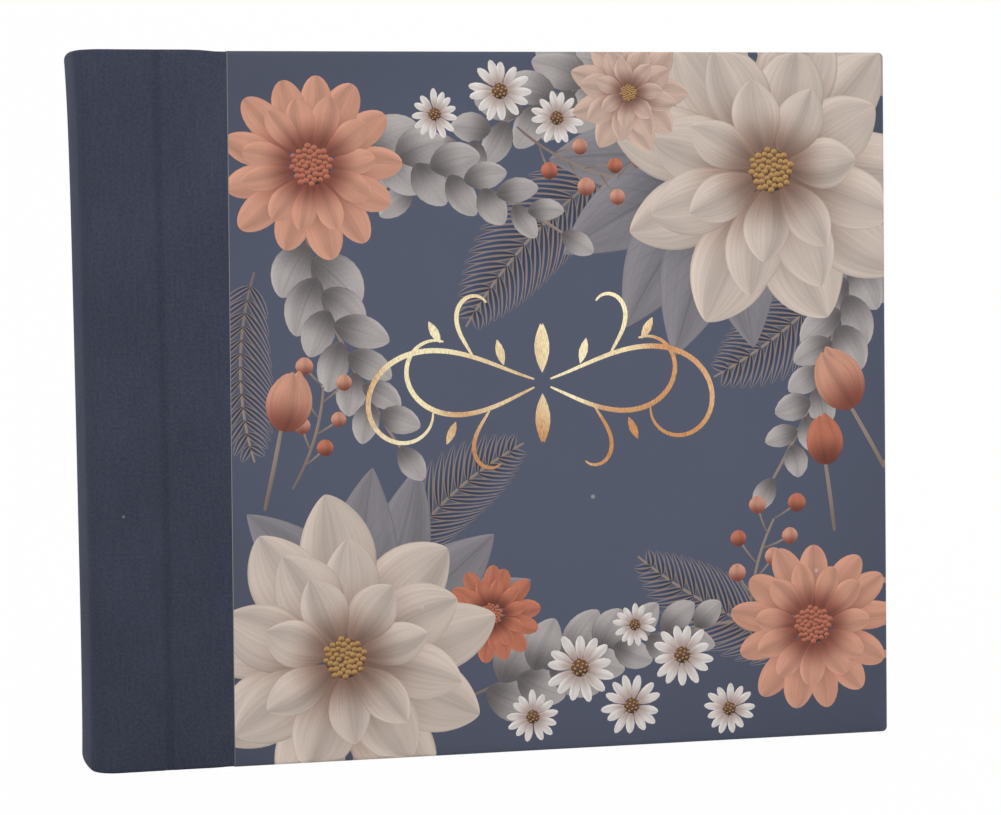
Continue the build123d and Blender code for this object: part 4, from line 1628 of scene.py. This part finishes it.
tree.links.new(ramp(tree, grain["Height"], 0.2, 0.8, 0.5, 0.68), shader.inputs["Roughness"])
raise_bump(tree, shader, grain["Height"], 0.02 * mm, 0.5)
print("material", printed_paper.name)

# %% [markdown]
# Stamped foil is real metal, a film pressed onto the paper. It mirrors the room softly. Its colour
# carries painted glints, broad patches of pale and browner gold laid by noise. The press leaves fine
# streaks across it, real in the roughness and bump, and painted as streaks of reflection in the colour.

# %% Gold foil material
streak_scales, glint_scales = (5200.0, 1.0, 700.0), (34.0, 1.0, 22.0)
brown_gold, pale_gold = screen(206, 148, 100), screen(255, 240, 196)
gold_foil, tree, shader = new_material("gold_foil", metallic=1.0)
streaks = stretched_noise(tree, object_place(tree), streak_scales, 2.0)
# Painted glints: broad patches of pale and browner gold.
glints = stretched_noise(tree, object_place(tree), glint_scales, 1.0)
gold = blend_colours(tree, ramp(tree, glints, 0.38, 0.62), brown_gold, pale_gold)
# Painted streaks of reflection in the colour. The same streaks roughen and bump the foil for real.
gold_with_painted_streaks = tint(tree, gold, ramp(tree, streaks, 0.3, 0.62, 0.62, 1.0))
tree.links.new(gold_with_painted_streaks, shader.inputs["Base Color"])
tree.links.new(ramp(tree, streaks, 0.3, 0.7, 0.34, 0.2), shader.inputs["Roughness"])
raise_bump(tree, shader, streaks, 0.01 * mm, 0.4)
print("material", gold_foil.name)

# %% [markdown]
# The finished sheets take both materials, and the foil's faces already name the second one. Smoothing by
# angle keeps the rolled edges round and the flat plain. Each sheet rides on its cover and stands for the
# plain paper of the frame.

# %% Put the paper on the covers
paper_smooth_below = math.radians(40)
for cover, piece in print_pieces.items():
    piece.data.materials.append(printed_paper)
    piece.data.materials.append(gold_foil)
    bpy.ops.object.select_all(action="DESELECT")
    piece.select_set(True)
    bpy.context.view_layer.objects.active = piece
    bpy.ops.object.shade_smooth_by_angle(angle=paper_smooth_below)
    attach(piece, f"{cover}_cover")
    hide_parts(f"{cover}_cover_paper")
print("papers", list(print_pieces))

# %% [markdown]
# Under the covering are the boards: grey, pressed from waste paper, with darker and paler fibres all
# through. They show only at the hinge when the book lies open, so the solids stay and only get a finish.

# %% Greyboard material
fibre_scales = (900.0, 3000.0, 260.0)
dark_fibre, pale_fibre, fleck_colour = screen(122, 118, 112), screen(168, 163, 154), screen(78, 74, 70)
greyboard, tree, shader = new_material("greyboard", specular_ior_level=0.2)
grain = use_group(tree, paper_grain, tooth=0.3, cloud=0.2)
fibres = stretched_noise(tree, object_place(tree), fibre_scales, 3.0)
grey = tint(tree, blend_colours(tree, ramp(tree, fibres, 0.3, 0.7), dark_fibre, pale_fibre), grain["Shade"])
flecks = calc(tree, "MULTIPLY", use_group(tree, stray_specks, scale=420.0, rarity=0.9)["Mask"], 0.6)
tree.links.new(blend_colours(tree, flecks, grey, fleck_colour), shader.inputs["Base Color"])
tree.links.new(ramp(tree, fibres, 0.2, 0.8, 0.82, 0.95), shader.inputs["Roughness"])
raise_bump(tree, shader, fibres, 0.05 * mm, 0.6)
print("material", greyboard.name)

# %% [markdown]
# The endpapers and the lining of the spine are a cream laid paper. Laid paper is formed on a sieve of
# close wires, which leave fine parallel lines, crossed every couple of centimetres by a chain line.

# %% Endpaper material
laid_pitch, chain_pitch = 1.1 * mm, 24.0 * mm
chain_half_width = 0.5 * mm
sheet_cream, line_cream = screen(232, 223, 206), screen(218, 207, 188)
endpaper, tree, shader = new_material("endpaper", specular_ior_level=0.25)
grain = use_group(tree, paper_grain, tooth=0.08, cloud=0.1)
along_x, _, along_z = parts_of(tree, object_place(tree))
wires = calc(tree, "SINE", calc(tree, "MULTIPLY", along_z, 2 * math.pi / laid_pitch))
laid = calc(tree, "MULTIPLY_ADD", wires, 0.5, 0.5)
chain = ramp(tree, calc(tree, "PINGPONG", along_x, chain_pitch / 2), 0.0, chain_half_width, 1.0, 0.0)
lines = calc(tree, "MAXIMUM", calc(tree, "MULTIPLY", laid, 0.45), chain)
sieve = blend_colours(tree, lines, sheet_cream, line_cream)
tree.links.new(tint(tree, sieve, grain["Shade"]), shader.inputs["Base Color"])
tree.links.new(ramp(tree, grain["Height"], 0.2, 0.8, 0.78, 0.9), shader.inputs["Roughness"])
raise_bump(tree, shader, lines, 0.02 * mm, 0.4)
print("material", endpaper.name)

# %% [markdown]
# The mechanism is nickel-plated steel. On the rings the plating is bright, with hairline scratches from
# leaves that slide along the wire. The plate and its levers are brushed along their length. Both are the
# same metal, so one group gives the brushing and the smudges of handling.

# %% Rubbed metal group
rubbed_metal, ends, out = new_group(
    "rubbed_metal",
    {"Brushing": "Vector", "Polish": "Float"},
    {"Shade": "Float", "Roughness": "Float", "Height": "Float"},
)
smudge_scale = 140.0
place = object_place(rubbed_metal)
brushed = stretched_noise(rubbed_metal, place, ends["Brushing"], 4.0)
smudge = noise(rubbed_metal, place, smudge_scale, 2.0)
rough = calc(rubbed_metal, "MULTIPLY_ADD", brushed, 0.22, ends["Polish"])
feed(rubbed_metal, out["Shade"], ramp(rubbed_metal, smudge, 0.3, 0.7, 0.9, 1.03))
feed(rubbed_metal, out["Roughness"], calc(rubbed_metal, "MULTIPLY_ADD", smudge, 0.1, rough))
feed(rubbed_metal, out["Height"], brushed)
print("group", rubbed_metal.name)

# %% [markdown]
# Two finishes use the group: the bright wire of the rings, and the duller plate, brushed lengthwise.

# %% Steel materials
nickel_colour = screen(206, 203, 196)


def nickel(name, brushing, polish, depth):
    """Nickel plating with its own direction of brushing and its own polish."""
    material, tree, shader = new_material(name, metallic=1.0)
    metal = use_group(tree, rubbed_metal, brushing=brushing, polish=polish)
    tree.links.new(tint(tree, nickel_colour, metal["Shade"]), shader.inputs["Base Color"])
    tree.links.new(metal["Roughness"], shader.inputs["Roughness"])
    raise_bump(tree, shader, metal["Height"], depth, 0.35)
    return material


ring_steel = nickel("ring_steel", brushing=(900.0, 900.0, 5000.0), polish=0.02, depth=0.004 * mm)
plate_steel = nickel("plate_steel", brushing=(6000.0, 6000.0, 120.0), polish=0.14, depth=0.01 * mm)
print("materials", ring_steel.name, plate_steel.name)

# %% [markdown]
# The solids of the frame have the right shapes for boards, endpapers and steel, so they are kept and only
# change their material.

# %% Dress the solids
dressed = {
    greyboard: ("front_board", "back_board", "spine_card"),
    endpaper: ("front_endpaper", "back_endpaper", "spine_lining"),
    ring_steel: ("fore_ring_halves", "spine_ring_halves", "rivets"),
    plate_steel: (
        "ring_plate",
        "rivet_washers",
        "fore_carrier",
        "spine_carrier",
        "upper_lever",
        "lower_lever",
    ),
}
for material, names in dressed.items():
    for name in names:
        nodes[name].data.materials.clear()
        nodes[name].data.materials.append(material)
print("dressed", sum(len(names) for names in dressed.values()), "solids")

# %% [markdown]
# Behind each divider lies a packet of loose leaves, so the fore-edge should show separate sheets. One leaf
# is made as a stationer makes it: a rectangle with rounded corners, given its thickness, and punched. The
# punch is a Boolean with two cylinders. All of the other leaves are copies of that one.

# %% One punched leaf
leaf_thickness = 0.095 * mm
leaf_corner, leaf_corner_steps = 4.0 * mm, 6
hole_margin = 12.0 * mm
hole_diameter, hole_sides = 6.58 * mm, 32
drill_length = 200.0 * mm
ring_pitch = 80.0 * mm
ring_z = [book_height / 2 + hand * ring_pitch / 2 for hand in (-1, 1)]
first_low, first_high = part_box("leaves_ab")
upright = (math.pi / 2, 0, 0)


def flat_card(name, low, high):
    """A rectangle with rounded corners that faces the front cover, left in edit mode."""
    bpy.ops.object.select_all(action="DESELECT")
    centre = (low + high) / 2
    bpy.ops.mesh.primitive_plane_add(size=1.0, location=(centre.x, low.y, centre.z), rotation=upright)
    card = bpy.context.object
    card.name = name
    card.scale = (high.x - low.x, high.z - low.z, 1)
    bpy.ops.object.transform_apply(location=True, rotation=True, scale=True)
    bpy.ops.object.mode_set(mode="EDIT")
    bpy.ops.mesh.select_all(action="SELECT")
    bpy.ops.mesh.bevel(offset=leaf_corner, affect="VERTICES", segments=leaf_corner_steps)
    return card


def thicken_card(thickness):
    """Extrudes the card in edit mode towards the back cover, and leaves edit mode."""
    bpy.ops.mesh.select_all(action="SELECT")
    bpy.ops.mesh.extrude_region_move(TRANSFORM_OT_translate={"value": (0, thickness, 0)})
    bpy.ops.mesh.select_all(action="SELECT")
    bpy.ops.mesh.normals_make_consistent(inside=False)
    bpy.ops.object.mode_set(mode="OBJECT")


def punch(card, hole_x):
    """Cuts the two holes for the rings."""
    for z in ring_z:
        bpy.ops.mesh.primitive_cylinder_add(
            vertices=hole_sides,
            radius=hole_diameter / 2,
            depth=drill_length,
            location=(hole_x, 0, z),
            rotation=upright,
        )
        drill = bpy.context.object
        bpy.context.view_layer.objects.active = card
        cut = card.modifiers.new("punch", "BOOLEAN")
        cut.operation = "DIFFERENCE"
        cut.object = drill
        bpy.ops.object.modifier_apply(modifier=cut.name)
        bpy.data.objects.remove(drill)


leaf = flat_card("leaf", first_low, first_high)
thicken_card(leaf_thickness)
punch(leaf, first_low.x + hole_margin)
print("leaf", [round(side / mm, 2) for side in leaf.dimensions], "faces", len(leaf.data.polygons))

# %% [markdown]
# The leaves are ruled as an address book is: a few lines to each entry, and a heavier line between entries.
# Lines are printed on the faces only, inside a margin, so the cut edges have a plain paper of their own.

# %% Leaf papers
leaf_cream, ruling_grey = screen(240, 234, 219), screen(128, 128, 142)
line_pitch, lines_to_entry = 7.5 * mm, 5
thin_half, heavy_half, thin_strength = 0.12 * mm, 0.25 * mm, 0.5
ruled_x = (first_low.x + 22 * mm, first_high.x - 6 * mm)
ruled_z = (first_low.z + 6 * mm, first_high.z - 9 * mm)


def line_mask(tree, value, pitch, half_width):
    """1 on lines that repeat at a pitch, and 0 between them."""
    return ramp(tree, calc(tree, "PINGPONG", value, pitch / 2), half_width * 0.6, half_width, 1.0, 0.0)


def ruling(tree):
    """1 on the printed lines of a leaf, and 0 between them and in the margins."""
    along_x, _, along_z = parts_of(tree, object_place(tree))
    thin = calc(tree, "MULTIPLY", line_mask(tree, along_z, line_pitch, thin_half), thin_strength)
    lines = calc(tree, "MAXIMUM", thin, line_mask(tree, along_z, lines_to_entry * line_pitch, heavy_half))
    for value, (low, high) in ((along_x, ruled_x), (along_z, ruled_z)):
        lines = calc(tree, "MULTIPLY", lines, calc(tree, "GREATER_THAN", value, low))
        lines = calc(tree, "MULTIPLY", lines, calc(tree, "LESS_THAN", value, high))
    return lines


def leaf_paper(name, ruled):
    """Cream writing paper, with or without its ruling."""
    material, tree, shader = new_material(name, specular_ior_level=0.2)
    grain = use_group(tree, paper_grain, tooth=0.06, cloud=0.06)
    colour = blend_colours(tree, ruling(tree), leaf_cream, ruling_grey) if ruled else leaf_cream
    tree.links.new(tint(tree, colour, grain["Shade"]), shader.inputs["Base Color"])
    tree.links.new(ramp(tree, grain["Height"], 0.2, 0.8, 0.8, 0.92), shader.inputs["Roughness"])
    raise_bump(tree, shader, grain["Height"], 0.01 * mm, 0.4)
    return material


leaf.data.materials.append(leaf_paper("ruled_leaf", True))
leaf.data.materials.append(leaf_paper("plain_edge", False))
for face in leaf.data.polygons:
    face.material_index = 0 if abs(face.normal.y) > 0.5 else 1
print("materials", [material.name for material in leaf.data.materials])

# %% [markdown]
# A packet is the leaf, copied and spread evenly through the packet's place. Loose leaves never lie quite in
# line, so each is shifted by a hair. An Array modifier would be quicker, but would lay them all alike. The
# copies are joined, so that a packet is one piece.

# %% Packets of leaves
leaf_count = 6
jog_across, jog_up = 0.12, 0.2
alphabet = "abcdefghijklmnopqrstuvwxyz"
sections = [alphabet[i : i + 2] for i in range(0, len(alphabet), 2)]


def packet(letters):
    """Copies of the leaf that fill the place of one packet, each a hair out of line with the next."""
    low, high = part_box(f"leaves_{letters}")
    pitch = (high.y - low.y - leaf_thickness) / (leaf_count - 1)
    bpy.ops.object.select_all(action="DESELECT")
    copies = []
    for i in range(leaf_count):
        copy = bpy.data.objects.new(f"leaf_{letters}_{i}", leaf.data.copy())
        bpy.context.scene.collection.objects.link(copy)
        shift = Vector((low.x - first_low.x, low.y - first_low.y + i * pitch, 0))
        jog = Vector((dice.uniform(-jog_across, jog_across), 0, dice.uniform(-jog_up, jog_up))) * mm
        copy.data.transform(Matrix.Translation(shift + jog))
        copy.select_set(True)
        copies.append(copy)
    bpy.context.view_layer.objects.active = copies[0]
    bpy.ops.object.join()
    copies[0].name = f"address_leaves_{letters}"
    return copies[0]


for letters in sections:
    leaves = packet(letters)
    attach(leaves, f"section_{letters}")
    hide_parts(f"leaves_{letters}")
bpy.data.objects.remove(leaf)
print("packets", len(sections), "of", leaf_count, "leaves")

# %% [markdown]
# A divider is a stiffer card of the same outline with a tab at its fore-edge. The card and its tab are one
# piece of card on the real book, so they share a material. Tabs are laminated in the colours of the
# cover, which an attribute of the faces holds.

# %% Index card material
index_card, tree, shader = new_material("index_card", specular_ior_level=0.3)
grain = use_group(tree, paper_grain, tooth=0.14, cloud=0.08)
card_colour = tint(tree, attribute(tree, "tab_tint", "Color"), grain["Shade"])
tree.links.new(card_colour, shader.inputs["Base Color"])
tree.links.new(ramp(tree, grain["Height"], 0.2, 0.8, 0.55, 0.75), shader.inputs["Roughness"])
raise_bump(tree, shader, grain["Height"], 0.02 * mm, 0.4)
print("material", index_card.name)

# %% [markdown]
# Tabs stand one step further down for each section, so that all of them can be read at once. The card is
# bisected above and below the tab's place, the edge between is extruded out, and its corners are rounded.

# %% Dividers with their tabs
tab_tints = [screen(206, 146, 120), screen(216, 192, 174), screen(150, 146, 150), screen(104, 112, 136)]
card_tint = screen(232, 222, 202)
tab_reach = 7.0 * mm
tab_step_gap = 0.6 * mm
tab_corner, tab_corner_steps = 2.0 * mm, 5
tab_margin = leaf_corner + 2.0 * mm
tab_run = first_high.z - first_low.z - 2 * tab_margin
tab_pitch = tab_run / len(sections)
hair = 0.01 * mm


def tab_place(index):
    """The lower and upper end of a section's tab."""
    top = book_height / 2 + tab_run / 2 - index * tab_pitch - tab_step_gap / 2
    return top - tab_pitch + tab_step_gap, top


def divider(index, letters):
    """One index card with its tab, punched, with the tab's colour on its faces."""
    low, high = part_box(f"divider_{letters}")
    edge = high.x - tab_reach
    tab_low, tab_high = tab_place(index)
    card = flat_card(f"index_divider_{letters}", low, Vector((edge, high.y, high.z)))
    for z in (tab_low, tab_high):
        bpy.ops.mesh.select_all(action="SELECT")
        bpy.ops.mesh.bisect(plane_co=(0, 0, z), plane_no=(0, 0, 1))

    def at_tab(vertex):
        """Whether a vertex is on the stretch of edge that becomes the tab."""
        return vertex.co.x > edge - hair and tab_low - hair < vertex.co.z < tab_high + hair

    pick(card, "EDGE", lambda side: all(at_tab(vertex) for vertex in side.verts))
    bpy.ops.mesh.extrude_region_move(TRANSFORM_OT_translate={"value": (tab_reach, 0, 0)})
    pick(card, "VERT", lambda vertex: vertex.co.x > edge + hair)
    bpy.ops.mesh.bevel(offset=tab_corner, affect="VERTICES", segments=tab_corner_steps)
    thicken_card(high.y - low.y)
    punch(card, low.x + hole_margin)
    tab_tint = tab_tints[index % len(tab_tints)]
    tints = [tab_tint if face.center.x > edge + hair else card_tint for face in card.data.polygons]
    write_attribute(card.data, "tab_tint", "FLOAT_COLOR", "FACE", tints)
    card.data.materials.append(index_card)
    return card


for index, letters in enumerate(sections):
    card = divider(index, letters)
    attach(card, f"section_{letters}")
    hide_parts(f"divider_{letters}")
print("tabs", round(tab_pitch / mm, 2), "mm apart on", len(sections), "cards")

# %% [markdown]
# Each tab has its index letters on both sides. A text object, extruded by a hair and turned into a mesh,
# is quicker than drawing letters, and lies on the tab as thick ink would.

# %% Index letters
ink_colour = screen(44, 46, 58)
letter_size, letter_resolution = 4.4 * mm, 4
ink_thickness = 0.02 * mm
tab_ink, tree, shader = new_material("tab_ink", specular_ior_level=0.2)
grain = use_group(tree, paper_grain, tooth=0.2, cloud=0.1)
tree.links.new(tint(tree, ink_colour, grain["Shade"]), shader.inputs["Base Color"])
tree.links.new(ramp(tree, grain["Height"], 0.2, 0.8, 0.6, 0.8), shader.inputs["Roughness"])


def inked_letters(letters, place, facing):
    """The letters of one tab as a mesh: facing is -1 on its front and 1 on its back."""
    turn = (math.pi / 2, 0, 0 if facing < 0 else math.pi)
    bpy.ops.object.text_add(location=place, rotation=turn)
    text = bpy.context.object
    text.data.body = letters.upper()
    text.data.size = letter_size
    text.data.align_x = "CENTER"
    text.data.align_y = "CENTER"
    text.data.extrude = ink_thickness
    text.data.resolution_u = letter_resolution
    bpy.ops.object.convert(target="MESH")
    return bpy.context.object


for index, letters in enumerate(sections):
    low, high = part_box(f"divider_{letters}")
    x, z = high.x - tab_reach / 2, sum(tab_place(index)) / 2
    bpy.ops.object.select_all(action="DESELECT")
    front = inked_letters(letters, (x, low.y, z), -1)
    back = inked_letters(letters, (x, high.y, z), 1)
    for inked_side in (front, back):
        inked_side.select_set(True)
    bpy.context.view_layer.objects.active = front
    bpy.ops.object.join()
    bpy.ops.object.transform_apply(location=True, rotation=True, scale=True)
    front.name = f"tab_letters_{letters}"
    front.data.materials.clear()
    front.data.materials.append(tab_ink)
    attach(front, f"section_{letters}")
print("letters on", len(sections), "tabs")
